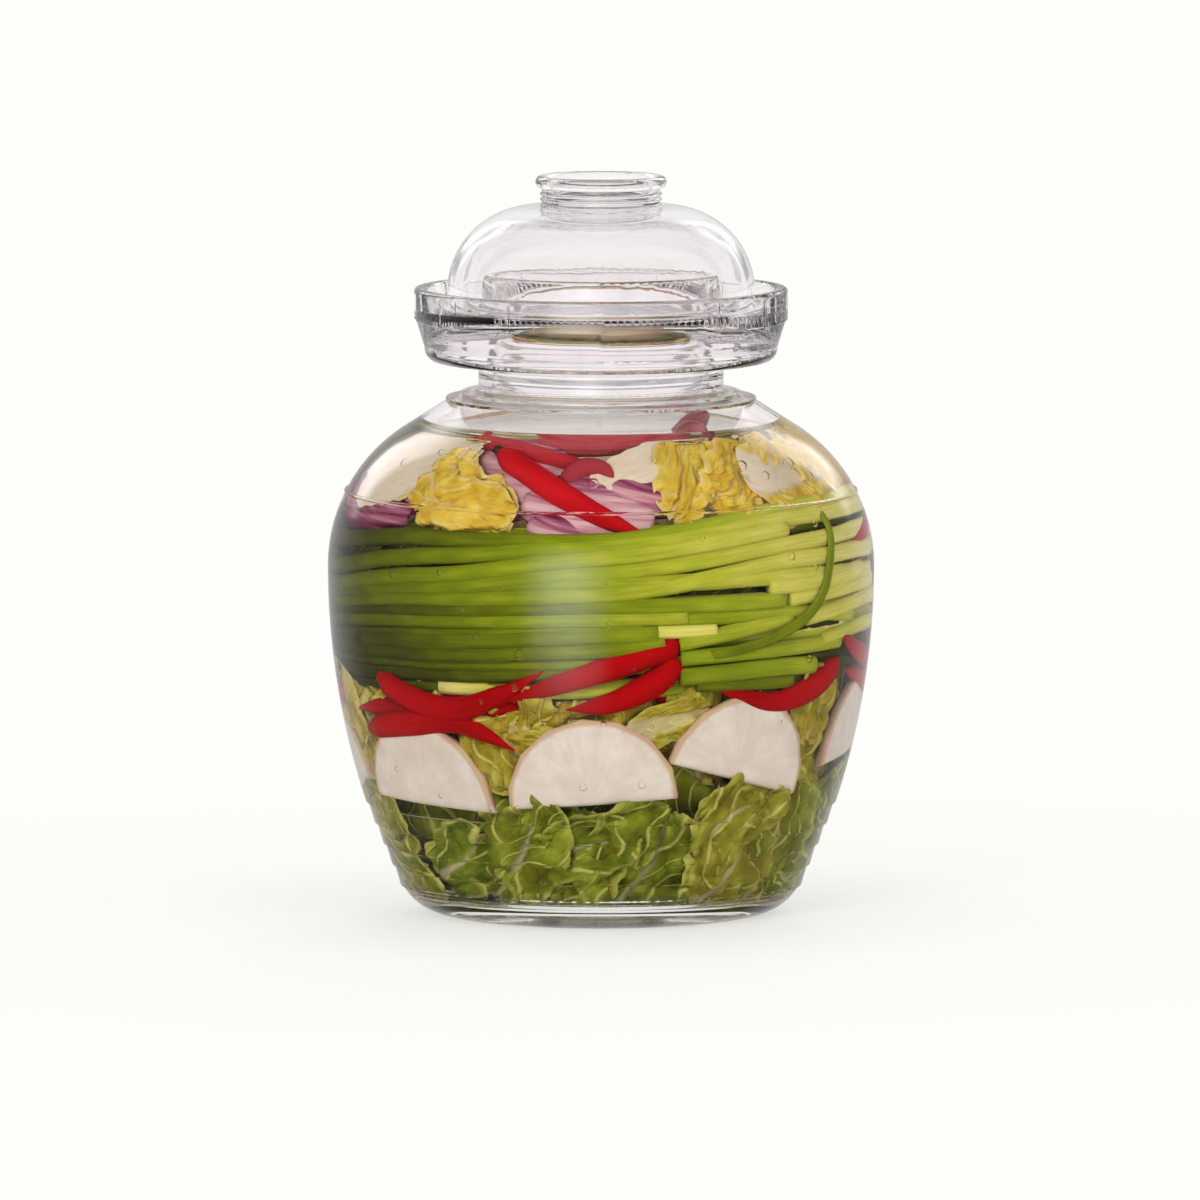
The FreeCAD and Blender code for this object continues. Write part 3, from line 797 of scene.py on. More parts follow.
@dataclass
class Chillies:
    """The chillies sunk in the brine, in front and all round.

    Attributes:
        wall: The glass's inner face.
        seed: Seed of the scattered ones.
        laid: The ones in front, between the stems and the radish.
        risen: The ones in front, under the brine's surface.
        flat: Thickness from the glass inwards, as a share of the width.
        gap: Least brine between a pod and the glass, in mm.
    """

    wall: Wall
    seed: int = 11
    flat: float = 0.88
    gap: float = 0.4
    laid: tuple[Pod, ...] = (
        Pod(
            (
                Spot(-60, 78, 3),
                Spot(-51, 73, 2.6),
                Spot(-37, 69.5, 3.2),
                Spot(-24, 75, 3.2),
                Spot(-13, 83, 5),
            ),
            8.4,
        ),
        Pod((Spot(-20, 72, 8), Spot(-40, 70.5, 8), Spot(-58, 69, 6), Spot(-74, 66.5, 4)), 7.2),
        Pod((Spot(-68, 61, 3), Spot(-50, 64.5, 2.8), Spot(-34, 65, 3), Spot(-21, 58, 4)), 8.0),
        Pod((Spot(18, 91.5, 4.2), Spot(9, 87.5, 4.2), Spot(-6, 80.5, 4.2), Spot(-26, 72, 5)), 8.8),
        Pod((Spot(18, 87, 5.2), Spot(13, 80, 4.4), Spot(3, 73.5, 4.0), Spot(-8, 71, 5)), 8.6),
        Pod((Spot(13, 76.5, 10), Spot(21, 73, 8.5), Spot(30, 68, 8)), 7.0),
        Pod((Spot(66, 82, 3), Spot(57, 75.5, 3.2), Spot(43, 71.5, 3.2), Spot(25, 78, 3)), 8.4),
        Pod((Spot(92, 78, 4), Spot(76, 84, 3), Spot(66, 90, 3.5)), 6.4),
        Pod((Spot(96, 70, 4), Spot(82, 75, 3), Spot(70, 78.5, 4)), 6.0),
        Pod((Spot(94, 121, 3), Spot(82, 119, 3), Spot(73, 117, 4)), 5.2),
    )
    risen: tuple[Pod, ...] = (
        Pod(
            (
                Spot(-31, 145.5, 5),
                Spot(-20, 141, 4),
                Spot(-8, 134, 3.6),
                Spot(2, 128, 3.2),
                Spot(12, 122.5, 3),
            ),
            8.4,
            True,
        ),
        Pod((Spot(-46, 147, 9), Spot(-30, 146, 9), Spot(-14, 143, 10), Spot(0, 141, 11)), 7.5, dull=0.45),
        Pod((Spot(-26, 146, 14), Spot(-2, 146.5, 14), Spot(22, 146.5, 14), Spot(44, 145, 16)), 9.0, dull=0.7),
        Pod((Spot(-10, 137, 8), Spot(-6, 141.5, 6.5), Spot(0, 142, 6.5), Spot(4, 138, 8)), 6.5, dull=0.85),
    )

    def thickness(self, share: float, width: float) -> float:
        """Radius along a pod: blunt at the shoulder, full at a third and drawn out to the tip."""
        shoulder = 0.45 + 0.55 * ease(share, 0.0, 0.14)
        taper = 1.0 - 0.28 * ease(share, 0.3, 0.8) - 0.64 * ease(share, 0.72, 1.0)
        return max(0.25, width / 2 * shoulder * taper)

    def build_pod(self, bm: bmesh.types.BMesh, pod: Pod, stalks: bmesh.types.BMesh) -> None:
        """Adds one pod, and its stalk if it has one."""
        course = smooth_course(pod.knots, 10)
        clear = 0.46 * pod.width + self.gap
        path = [self.wall.point(Spot(s.azimuth, s.height, max(s.depth, clear))) for s in course]
        count = len(path) - 1
        wobble = random.Random(self.seed + len(bm.verts))
        phase = wobble.uniform(0, 6.28)
        radii = [
            self.thickness(i / count, pod.width) * (1 + 0.06 * math.sin(phase + 9 * i / count))
            for i in range(count + 1)
        ]
        Sweep(16, self.flat).build(bm, path, radii, (End.ROUND, End.ROUND), pod.dull)
        if pod.stalk:
            back = (path[0] - path[1]).normalized()
            line = [path[0] - back * 0.6 * MM, path[0] + back * 1.2 * MM, path[0] + back * 2.6 * MM]
            Sweep(10, 1.0).build(stalks, line, [1.9, 1.5, 1.7], (End.CUT, End.CUT))

    def scattered(self) -> list[Pod]:
        """More pods round the sides and back, at the heights of the front ones."""
        pick = random.Random(self.seed)
        pods = []
        for turn in (108, 131, 152, 176, 199, 221, 243, 262):
            height = 74 + pick.uniform(-7, 9)
            sweep = pick.choice((-1, 1)) * pick.uniform(13, 19)
            sag = pick.uniform(-8, 7)
            knots = (
                Spot(turn - sweep, height + pick.uniform(-2, 5), 3.4),
                Spot(turn - sweep / 3, height + sag, 3.2),
                Spot(turn + sweep / 2, height + sag * 0.8, 3.2),
                Spot(turn + sweep, height - sag * 0.6, 5),
            )
            pods.append(Pod(knots, pick.uniform(6.6, 8.2)))
        for turn in (118, 164, 214, 250):
            lean = pick.choice((-1, 1)) * pick.uniform(12, 17)
            knots = (
                Spot(turn - lean, 144, 6),
                Spot(turn - lean / 4, 139, 4.4),
                Spot(turn + lean, 128 + pick.uniform(-3, 3), 4),
            )
            pods.append(Pod(knots, pick.uniform(6.6, 8.2), True))
        return pods

    def build(self, bench: Bench) -> None:
        """Makes the pods and their stalks."""
        low, high, stalks = bmesh.new(), bmesh.new(), bmesh.new()
        for pod in self.laid:
            self.build_pod(low, pod, stalks)
        for pod in self.risen:
            self.build_pod(high, pod, stalks)
        for pod in self.scattered():
            self.build_pod(high if pod.stalk else low, pod, stalks)
        bench.piece(low, "lower_chillies", [ChilliSkin("wet_chilli_skin").material()])
        bright = ChilliSkin("upper_chilli_skin", "A8060C", "C4141B", "CC2228")
        bench.piece(high, "upper_chillies", [bright.material()])
        bench.piece(stalks, "chilli_stalks", [DriedStalk("dried_stalk").material()])


@dataclass(frozen=True)
class Stalk:
    """One garlic stem laid across the front.

    Attributes:
        start: Azimuth of its left end.
        stop: Azimuth of its right end.
        rise: Heights at -80, -45, 0, 45 and 80 degrees, in mm.
        width: Thickness, in mm.
        depth: Millimetres in from the glass.
        tone: Shift of its colour.
        end: How its right end is cut.
    """

    start: float
    stop: float
    rise: tuple[float, float, float, float, float]
    width: float = 4.2
    depth: float = 2.8
    tone: float = 0.0
    end: End = End.CUT


@dataclass
class GarlicStems:
    """The bundle of garlic stems round the jar's waist.

    Attributes:
        wall: The glass's inner face.
        seed: Seed of the ones behind.
        marks: Azimuths at which a front stem's heights are given.
        flat: Thickness from the glass inwards, as a share of the width.
        laid: The stems across the front.
    """

    wall: Wall
    seed: int = 5
    marks: tuple[float, ...] = (-80, -45, 0, 45, 80)
    flat: float = 0.85
    laid: tuple[Stalk, ...] = (
        Stalk(-118, 108, (117, 121.5, 122, 129, 129), 4.6, 3.0, -0.06),
        Stalk(-112, 96, (109, 116, 121, 126.5, 126), 4.6, 2.8, 0.02),
        Stalk(-104, 47, (104, 110, 117.5, 123.5, 124), 4.8, 2.8, 0.06),
        Stalk(-110, 92, (101, 106.5, 113, 119, 120), 4.4, 2.6, 0.02),
        Stalk(-108, 86, (98.5, 103.5, 106.5, 114.5, 114.5), 4.6, 2.7, 0.03),
        Stalk(-102, 44, (97, 100, 103, 103, 103), 4.6, 2.8, -0.12),
        Stalk(-98, 19, (93.5, 97, 99, 100, 100), 4.2, 2.7, 0.0),
        Stalk(12, 26, (95, 95, 95, 95, 95), 3.8, 2.6, 0.2),
        Stalk(-96, 9, (89.5, 92.5, 95.5, 97, 97), 4.0, 3.4, -0.06),
        Stalk(-66, 12.5, (88, 90.5, 94, 96, 96), 5.0, 2.9, -0.1),
        Stalk(-92, 14, (86, 86.5, 89.5, 99, 110), 4.4, 3.0, -0.12, End.HOLLOW),
        Stalk(-94, 7, (83.5, 84.5, 86, 94, 100), 4.8, 6.0, -0.05),
        Stalk(-90, -6, (79, 80.5, 82.5, 84, 84), 4.6, 7.0, -0.16),
        Stalk(18, 56, (80, 80, 80, 82.5, 80), 5.0, 3.0, -0.22),
        Stalk(22, 49, (80, 80, 79, 78, 78), 4.4, 4.2, -0.36),
        Stalk(18, 66, (86, 86, 86, 88, 88.5), 4.4, 3.2, -0.16),
        Stalk(17.5, 47, (90, 90, 88.5, 96.5, 99), 4.6, 3.0, -0.08),
        Stalk(14, 72, (99, 99, 99, 99, 95), 4.4, 3.6, -0.14),
        Stalk(-20, 60, (92, 92, 100, 100.5, 98), 4.4, 5.4, -0.1),
        Stalk(-40, 84, (108, 108, 110, 110, 108), 4.6, 3.2, 0.0),
        Stalk(40, 76, (108, 108, 108, 107, 109), 4.8, 2.6, 0.02, End.HOLLOW),
        Stalk(46, 86, (102, 102, 102, 103, 105), 4.6, 2.8, 0.0),
        Stalk(52, 94, (96, 96, 96, 96, 100), 4.4, 2.8, -0.02),
        Stalk(58, 92, (90, 90, 90, 88, 92), 4.4, 3.2, -0.1, End.HOLLOW),
    )

    def height(self, rise: Sequence[float], azimuth: float) -> float:
        """Height of a front stem at an azimuth, running on level past the last knots."""
        marks = self.marks
        if azimuth <= marks[0]:
            return rise[0] - 0.06 * (marks[0] - azimuth)
        for index in range(len(marks) - 1):
            if azimuth <= marks[index + 1]:
                share = (azimuth - marks[index]) / (marks[index + 1] - marks[index])
                blend = 0.5 * share + 0.5 * ease(share)
                return rise[index] + (rise[index + 1] - rise[index]) * blend
        return rise[-1] - 0.08 * (azimuth - marks[-1])

    def front(self, bm: bmesh.types.BMesh, stalk: Stalk) -> None:
        """Adds one of the stems laid across the front."""
        count = max(3, round((stalk.stop - stalk.start) / 14))
        knots = []
        for step in range(count + 1):
            azimuth = stalk.start + (stalk.stop - stalk.start) * step / count
            aside = 1.5 * ease(azimuth, 25, 50) - 0.8 * ease(azimuth, 72, 90)
            knots.append(Spot(azimuth, self.height(stalk.rise, azimuth), stalk.depth + aside))
        path = [self.wall.point(spot) for spot in smooth_course(knots, 4)]
        wobble = [noise.noise(Vector((step * 0.35, stalk.rise[0], 0.5))) for step in range(len(path))]
        radii = [stalk.width * 0.56 * (1 + 0.05 * shift) for shift in wobble]
        # The bundle pales from its tops, 120 degrees to the left, to its feet, 95 degrees to the right; its
        # dark left end is partly painted shade for that side's shadow.
        runs = ((stalk.start + 120) / 215, (stalk.stop + 120) / 215)
        Sweep(14, self.flat).build(bm, path, radii, (End.CUT, stalk.end), stalk.tone, runs)

    def filler(
        self, bm: bmesh.types.BMesh, pick: random.Random, middle: float, half: float, depth: float
    ) -> None:
        """Adds a stem whose course is left to chance.

        Args:
            bm: The bmesh it is added to.
            pick: The seeded source of chance.
            middle: Azimuth of its middle.
            half: Half of its sweep, in degrees.
            depth: Millimetres in from the glass.
        """
        start = pick.uniform(78, 124)
        tilt = pick.uniform(-3, 9) if start < 112 else pick.uniform(-5, 5)
        bow = pick.uniform(-3, 3)
        knots = []
        for step in range(6):
            share = step / 5
            azimuth = middle - half + 2 * half * share
            height = start + tilt * (share - 0.5) + bow * math.sin(math.pi * share)
            knots.append(Spot(azimuth, height, depth + pick.uniform(-0.5, 0.5)))
        path = [self.wall.point(spot) for spot in smooth_course(knots, 4)]
        radii = [pick.uniform(1.9, 2.5)] * len(path)
        # One stem in four lies the other way round.
        runs = (0.95, 0.1) if pick.random() < 0.25 else (0.05, 0.98)
        Sweep(12, self.flat).build(bm, path, radii, (End.CUT, End.HOLLOW), pick.uniform(-0.12, 0.06), runs)

    def build(self, bench: Bench) -> None:
        """Makes the front stems, the ones behind them and the ones round the back."""
        coat = GarlicStem("garlic_stem_skin").material()
        near, deep = bmesh.new(), bmesh.new()
        for stalk in self.laid:
            self.front(near, stalk)
        pick = random.Random(self.seed)
        for _ in range(26):
            self.filler(deep, pick, pick.uniform(-30, 40), pick.uniform(55, 85), pick.uniform(6.5, 9.0))
        for _ in range(44):
            self.filler(deep, pick, pick.uniform(135, 225), pick.uniform(45, 62), pick.uniform(2.8, 7.0))
        bench.piece(near, "front_stems", [coat])
        bench.piece(deep, "other_stems", [coat])


@dataclass(frozen=True)
class Leaf:
    """One cabbage leaf against the glass.

    Attributes:
        place: Spot of its foot.
        lean: Lean of its midrib to the right from upright, in degrees.
        length: Foot to tip, in mm.
        width: At its widest, in mm.
        tone: 0 for green, 1 for yellow.
        rib: Width of its rib at the foot, in mm.
        ruffle: Depth of its folds, in mm.
        slope: How much further in its right side lies than its left, per mm.
        bend: Sideways bend of its midrib, in steps of 3 mm.
    """

    place: Spot
    lean: float
    length: float
    width: float
    tone: float
    rib: float = 5.0
    ruffle: float = 3.0
    slope: float = 0.0
    bend: float = 0.0


@dataclass
class Cabbage:
    """A layer of napa cabbage leaves.

    Attributes:
        wall: The glass's inner face.
        name: Name of the piece.
        seed: Seed of the leaves' folds.
        low: Lowest height of a leaf, in mm.
        high: Highest.
        grid: Faces along a side of a leaf.
        shy: Height above which leaves draw back from the glass, in mm.
        tuck: Height below which they tuck in behind what lies under them, in mm.
        least: Least depth of a leaf behind the glass, in mm.
    """

    wall: Wall
    name: str
    seed: int
    low: float
    high: float
    grid: int = 46
    shy: float = 999.0
    tuck: float = 0.0
    least: float = 0.8

    def build_leaf(self, bm: bmesh.types.BMesh, leaf: Leaf, number: int) -> None:
        """Adds one leaf: a grid bent along the glass, with folds, blisters and a ruffled margin."""
        coat = layer(bm.loops.layers.uv, "leaf")
        tone = layer(bm.verts.layers.float, "tone")
        ribs = layer(bm.verts.layers.float, "rib")
        edges = layer(bm.verts.layers.float, "edge")
        veins = layer(bm.verts.layers.float, "vein")
        start = self.seed + 7.31 * number
        made = bmesh.ops.create_grid(bm, x_segments=self.grid, y_segments=self.grid, size=1.0)["verts"]
        places = {}
        for vert in made:
            across, along = vert.co.x, (vert.co.y + 1) / 2
            round_off = max(0.0, 1 - abs(2 * along - 1) ** 3.2) ** 0.5
            frill = math.sin(along * leaf.length * 0.9 + start) * (1 if across > 0 else -1)
            lobe = noise.noise(Vector((along * 5, math.copysign(2, across), start)))
            half = leaf.width / 2 * (0.18 + 0.82 * round_off) * (1 + 0.12 * lobe + 0.03 * frill)
            x = across * half
            y = along * leaf.length + 2.5 * noise.noise(Vector((across * 2.2, start, along)))
            rim = max(abs(across), abs(2 * along - 1) ** 2) ** 2
            x += 3.0 * leaf.bend * math.sin(math.pi * along) * (1 - 0.3 * rim)
            reach = leaf.rib / 2 * (1 - 0.85 * along)
            rib = 1 - ease(abs(across * half), reach * 0.8, reach * 1.25 + 0.3)
            big = noise.noise(Vector((x / 15, y / 15, start)))
            warp = Vector((x / 8 + 1.2 * big, y / 10 - big, start + 3))
            folds = abs(noise.noise(warp))
            vein = (abs(x) - 0.32 * y) / 7 + 1.1 * noise.noise(Vector((x / 11, y / 11, start + 5)))
            between = abs(math.sin(math.pi * vein)) ** 0.6
            crimp = abs(noise.noise(Vector((vein * 3.6, y / 9 + big, start + 9))))
            wave = math.sin(6.28 * (x + y * (1 if across > 0 else -1)) / 9 + 5 * big)
            soft = 1 - 0.85 * rib
            inward = leaf.ruffle * (1.3 + 1.5 * big)
            inward -= leaf.ruffle * 1.9 * folds * soft
            inward -= (0.9 * between + 2.8 * crimp) * soft
            inward += rim * leaf.ruffle * 0.45 * wave * soft
            inward += leaf.slope * x - 1.6 * rib * (1 - along)
            spot = self.wall.beside(leaf.place, x, y, leaf.lean, inward)
            height = min(max(spot.height, self.low), self.high)
            deeper = max(0.0, height - self.shy) * 0.3 + max(0.0, self.tuck - height) * 1.8
            spot = Spot(spot.azimuth, height, max(self.least, spot.depth + deeper))
            rib *= 1.0 if leaf.rib > 8 else 0.4
            vert.co = self.wall.point(spot)
            vert[tone], vert[ribs], vert[edges], vert[veins] = leaf.tone, rib, rim, vein
            places[vert] = (x / 100, y / 100)
        lay_map(places, coat)

    def build(self, bench: Bench, leaves: Sequence[Leaf], coat: bpy.types.Material) -> None:
        """Makes the layer's piece."""
        bm = bmesh.new()
        for number, leaf in enumerate(leaves):
            self.build_leaf(bm, leaf, number)
        bench.piece(bm, self.name, [coat], 0.6)


@dataclass
class CabbageLayers:
    """All the cabbage: the bed at the bottom, the layer under the stems, and the top.

    Attributes:
        wall: The glass's inner face.
    """

    wall: Wall

    def bed(self) -> list[Leaf]:
        """Green leaves packed under the radish, all round."""
        pick = random.Random(21)
        leaves = []
        for turn in range(-90, 270, 24):
            leaves.append(
                Leaf(
                    Spot(turn + pick.uniform(-6, 6), pick.uniform(6, 11), 2.4),
                    pick.uniform(-40, 40),
                    pick.uniform(36, 44),
                    pick.uniform(30, 40),
                    pick.uniform(0.0, 0.3),
                    2.2,
                    pick.uniform(3.4, 4.6),
                    pick.uniform(-0.16, 0.16),
                    pick.uniform(-2, 2),
                )
            )
        for turn in range(-84, 276, 36):
            leaves.append(
                Leaf(
                    Spot(turn + pick.uniform(-8, 8), pick.uniform(14, 30), 1.0),
                    pick.uniform(50, 130),
                    pick.uniform(28, 38),
                    pick.uniform(18, 26),
                    pick.uniform(0.0, 0.28),
                    2.0,
                    3.2,
                    pick.uniform(-0.1, 0.1),
                    pick.uniform(-2, 2),
                )
            )
        return leaves

    def middle(self) -> list[Leaf]:
        """Yellow-green leaves between the radish and the stems."""
        pick = random.Random(34)
        leaves = [
            Leaf(Spot(-36, 58, 7.0), 78, 30, 18, 0.5, 2, 2.6),
            Leaf(Spot(-26, 64, 8.5), 82, 40, 12, 0.55, 2, 2.4),
            Leaf(Spot(-2, 64, 8.0), 70, 26, 14, 0.5, 2, 2.4),
            Leaf(Spot(6, 63, 4.4), 74, 28, 13, 0.4, 8, 0.9),
            Leaf(Spot(57, 58, 4.0), 10, 24, 20, 0.5, 2, 2.8),
        ]
        for turn in range(-92, 270, 24):
            leaves.append(
                Leaf(
                    Spot(turn + pick.uniform(-5, 5), pick.uniform(44, 50), 7.0 if -95 < turn < 95 else 4.0),
                    pick.uniform(-40, 40),
                    pick.uniform(30, 36),
                    pick.uniform(32, 42),
                    pick.uniform(0.2, 0.6),
                    3.0,
                    3.2,
                    pick.uniform(-0.1, 0.1),
                    pick.uniform(-2, 2),
                )
            )
        return leaves

    def top(self) -> list[Leaf]:
        """Cream ribs and yellow ruffled blades under the brine's surface."""
        pick = random.Random(55)
        leaves = [
            Leaf(Spot(-78, 135, 2.6), 76, 50, 22, 0.95, 40, 0.8),
            Leaf(Spot(-50, 140, 2.0), 114, 39, 25, 0.95, 1, 3.2, 0.0, 1.0),
            Leaf(Spot(-46, 132.5, 2.0), 97, 33, 17, 0.95, 1, 3.0),
            Leaf(Spot(-3, 138, 8.0), 76, 48, 10, 0.9, 26, 0.6),
            Leaf(Spot(17, 128, 3.8), 40, 34, 20, 0.9, 1, 3.2, 0.0, -1.0),
            Leaf(Spot(27, 131.5, 3.8), 60, 44, 20, 0.95, 1, 3.2),
            Leaf(Spot(40, 140, 3.4), 96, 38, 18, 0.88, 12, 1.4),
            Leaf(Spot(88, 129, 2.6), -50, 34, 22, 0.95, 1, 3.2),
            Leaf(Spot(66, 128, 3.0), 20, 18, 22, 0.9, 1, 3.0),
        ]
        for turn in range(108, 262, 22):
            leaves.append(
                Leaf(
                    Spot(turn + pick.uniform(-5, 5), pick.uniform(127, 132), 9.0),
                    pick.uniform(-60, 60),
                    pick.uniform(24, 30),
                    pick.uniform(28, 36),
                    pick.uniform(0.75, 1.0),
                    pick.choice((1.0, 1.0, 20.0)),
                    2.8,
                )
            )
        return leaves

    def core(self, bench: Bench, coat: bpy.types.Material) -> None:
        """Makes the tight heart of packed leaves that everything leans on: a lumpy closed body whose cream
        top is partly painted light.
        """
        bm = bmesh.new()
        tone = bm.verts.layers.float.new("tone")
        ribs = bm.verts.layers.float.new("rib")
        bm.verts.layers.float.new("edge")
        veins = bm.verts.layers.float.new("vein")
        coat_map = bm.loops.layers.uv.new("leaf")
        bmesh.ops.create_uvsphere(bm, u_segments=96, v_segments=56, radius=1.0)
        for vert in bm.verts:
            height = 9 + 62 * (vert.co.z + 1)
            turn = math.atan2(vert.co.x, -vert.co.y)
            side = math.hypot(vert.co.x, vert.co.y)
            lump = noise.noise(Vector((math.sin(turn) * 3, math.cos(turn) * 3, height / 14)))
            fine = noise.noise(Vector((math.sin(turn) * 9, math.cos(turn) * 9, height / 5)))
            reach = (self.wall.radius(height) - 12 + 2.5 * lump + 1.5 * fine) * min(1.0, side * 1.35)
            vert.co = Vector((math.sin(turn) * reach, -math.cos(turn) * reach, height)) * MM
            vert[tone], vert[veins] = 0.1, turn * 9 + 2 * lump
            # The heart's top turns cream, partly as the leaves' ribs are and partly as painted light: the
            # pale that light through the clear brine above it gives.
            vert[ribs] = ease(height, 119, 128)
        for face in bm.faces:
            for loop in face.loops:
                place = loop.vert.co / MM
                loop[coat_map].uv = (math.atan2(place.x, -place.y) * 0.7, place.z / 100)
        bench.piece(bm, "packed_heart", [coat])

    def build(self, bench: Bench) -> None:
        """Makes all the layers."""
        coat = CabbageLeaf("napa_cabbage_leaf").material()
        Cabbage(self.wall, "bottom_cabbage", 3, 7.6, 62, 42, 37.0).build(bench, self.bed(), coat)
        Cabbage(self.wall, "middle_cabbage", 71, 40, 84, 40, least=3.6).build(bench, self.middle(), coat)
        Cabbage(self.wall, "top_cabbage", 133, 121.5, 148.5, 48, tuck=126.0).build(bench, self.top(), coat)
        self.core(bench, coat)


@dataclass(frozen=True)
class Slice:
    """One half slice of radish.

    Attributes:
        place: Spot of the middle of its straight cut.
        lean: Turn of its straight cut to the right, in degrees.
        radius: Radius of the root, in mm.
        thick: Thickness, in mm.
    """

    place: Spot
    lean: float
    radius: float
    thick: float = 5.0


@dataclass
class Radish:
    """Half slices of white radish standing against the glass.

    Attributes:
        wall: The glass's inner face.
        laid: The slices, front and back.
        flats: Flats that the peeler leaves round a whole slice.
        softened: Width of a softened edge, in mm.
        bow: How much further in a slice's middle stands than its sides, in mm.
    """

    wall: Wall
    flats: int = 15
    softened: float = 1.1
    bow: float = 1.6
    laid: tuple[Slice, ...] = (
        Slice(Spot(-49.5, 39, 1.2), 2.5, 27.0),
        Slice(Spot(-2, 41.2, 1.2), -4, 27.2),
        Slice(Spot(35.5, 48, 1.2), 14, 26.2),
        Slice(Spot(84, 52, 1.6), -6, 25.0),
        Slice(Spot(-93, 40, 1.6), -14, 24.0),
        Slice(Spot(128, 44, 1.4), 6, 26.0),
        Slice(Spot(172, 41, 1.4), -8, 27.0),
        Slice(Spot(216, 46, 1.4), 10, 25.0),
    )

    def build_slice(self, bm: bmesh.types.BMesh, item: Slice, number: int) -> None:
        """Adds a half slice: a disc peeled in flats, cut in half, extruded, and softened at its edges."""
        coat = layer(bm.loops.layers.uv, "slice")
        rim = layer(bm.verts.layers.float, "rim")
        disc = bmesh.new()
        bmesh.ops.create_circle(disc, cap_ends=True, cap_tris=False, segments=self.flats, radius=item.radius)
        turn = Matrix.Rotation(0.11 + number * 0.37, 3, "Z")
        bmesh.ops.rotate(disc, cent=(0, 0, 0), matrix=turn, verts=disc.verts)
        bmesh.ops.bisect_plane(
            disc,
            geom=[*disc.verts, *disc.edges, *disc.faces],
            plane_co=(0, 0, 0),
            plane_no=(0, -1, 0),
            clear_outer=True,
        )
        grown = bmesh.ops.extrude_face_region(disc, geom=disc.faces[:])["geom"]
        top = [v for v in grown if isinstance(v, bmesh.types.BMVert)]
        bmesh.ops.translate(disc, vec=(0, 0, item.thick), verts=top)
        sharp = [e for e in disc.edges if e.calc_face_angle(0) > 0.6]
        bmesh.ops.bevel(
            disc,
            geom=sharp,
            offset=self.softened,
            segments=2,
            profile=0.5,
            affect="EDGES",
            offset_type="OFFSET",
            material=-1,
        )
        for step in range(-9, 10):
            if step:
                for normal in ((1, 0, 0), (0, 1, 0)):
                    bmesh.ops.bisect_plane(
                        disc,
                        geom=[*disc.verts, *disc.edges, *disc.faces],
                        plane_co=Vector(normal) * step * item.radius / 9.5,
                        plane_no=normal,
                    )
        cuts = {}
        for vert in disc.verts:
            x, y, z = vert.co
            far = math.hypot(x, y) / item.radius
            depth = item.place.depth + z + self.bow * (1 - (x / item.radius) ** 2)
            spot = self.wall.beside(Spot(item.place.azimuth, item.place.height, depth), x, y, item.lean, 0)
            made = bm.verts.new(self.wall.point(spot))
            made[rim] = ease(far, 0.86, 0.97) if y > 0.3 else 0.0
            cuts[vert] = (made, (math.atan2(y, x) / 3.1416, far))
        for face in disc.faces:
            made = bm.faces.new([cuts[vert][0] for vert in face.verts])
            for loop, vert in zip(made.loops, face.verts):
                loop[coat].uv = cuts[vert][1]
        disc.free()

    def build(self, bench: Bench) -> None:
        """Makes all the slices as one piece."""
        bm = bmesh.new()
        for number, item in enumerate(self.laid):
            self.build_slice(bm, item, number)
        bench.piece(bm, "radish_slices", [CutRadish("steeped_white_radish").material()])


@dataclass
class Onion:
    """Scales of red onion between the stems and the top cabbage.

    Attributes:
        wall: The glass's inner face.
        scales: The scales, laid as leaves are; a tone of 0 is lilac and 1 is purple.
    """

    wall: Wall
    scales: tuple[Leaf, ...] = (
        Leaf(Spot(-88, 128, 2.4), 92, 50, 17, 0.75, 0, 1.6),
        Leaf(Spot(-80, 124, 4.0), 80, 46, 14, 0.35, 0, 1.6),
        Leaf(Spot(-46, 137, 8.0), 90, 46, 24, 0.05, 0, 1.6),
        Leaf(Spot(-20, 132, 4.6), 96, 44, 20, 0.1, 0, 1.8),
        Leaf(Spot(-17, 126, 3.4), 102, 36, 14, 0.3, 0, 2.0),
        Leaf(Spot(2, 137, 6.0), 104, 24, 12, 0.45, 0, 1.8),
        Leaf(Spot(104, 126, 3.0), 84, 44, 16, 0.4, 0, 1.8),
        Leaf(Spot(150, 127, 3.0), 96, 44, 18, 0.2, 0, 1.8),
        Leaf(Spot(196, 125, 3.0), 86, 46, 16, 0.6, 0, 1.8),
        Leaf(Spot(236, 128, 3.0), 98, 40, 18, 0.3, 0, 1.8),
    )

    def build_scale(self, bm: bmesh.types.BMesh, scale: Leaf, number: int) -> None:
        """Adds one scale: a boat-shaped grid that bulges towards the glass."""
        coat = layer(bm.loops.layers.uv, "leaf")
        tone = layer(bm.verts.layers.float, "tone")
        edges = layer(bm.verts.layers.float, "edge")
        made = bmesh.ops.create_grid(bm, x_segments=22, y_segments=34, size=1.0)["verts"]
        places = {}
        for vert in made:
            across, along = vert.co.x, (vert.co.y + 1) / 2
            half = scale.width / 2 * (0.12 + 0.88 * math.sin(math.pi * (0.04 + 0.92 * along)) ** 0.7)
            x, y = across * half, along * scale.length
            slow = noise.noise(Vector((x / 15, y / 15, number * 3.7)))
            fine = noise.noise(Vector((x / 4, y / 11, number * 5.1)))
            inward = scale.ruffle * (0.6 + 1.6 * across**2 + 0.9 * slow + 0.3 * fine)
            inward += 2.0 * (2 * along - 1) ** 4
            spot = self.wall.beside(scale.place, x, y + 1.5 * slow, scale.lean, inward)
            vert.co = self.wall.point(Spot(spot.azimuth, min(spot.height, 148), max(0.8, spot.depth)))
            vert[tone], vert[edges] = scale.tone, abs(across) ** 2
            places[vert] = (x / 100, y / 100)
        lay_map(places, coat)

    def build(self, bench: Bench) -> None:
        """Makes all the scales as one piece."""
        bm = bmesh.new()
        for number, scale in enumerate(self.scales):
            self.build_scale(bm, scale, number)
        bench.piece(bm, "onion_scales", [OnionScale("steeped_red_onion").material()], 1.4)


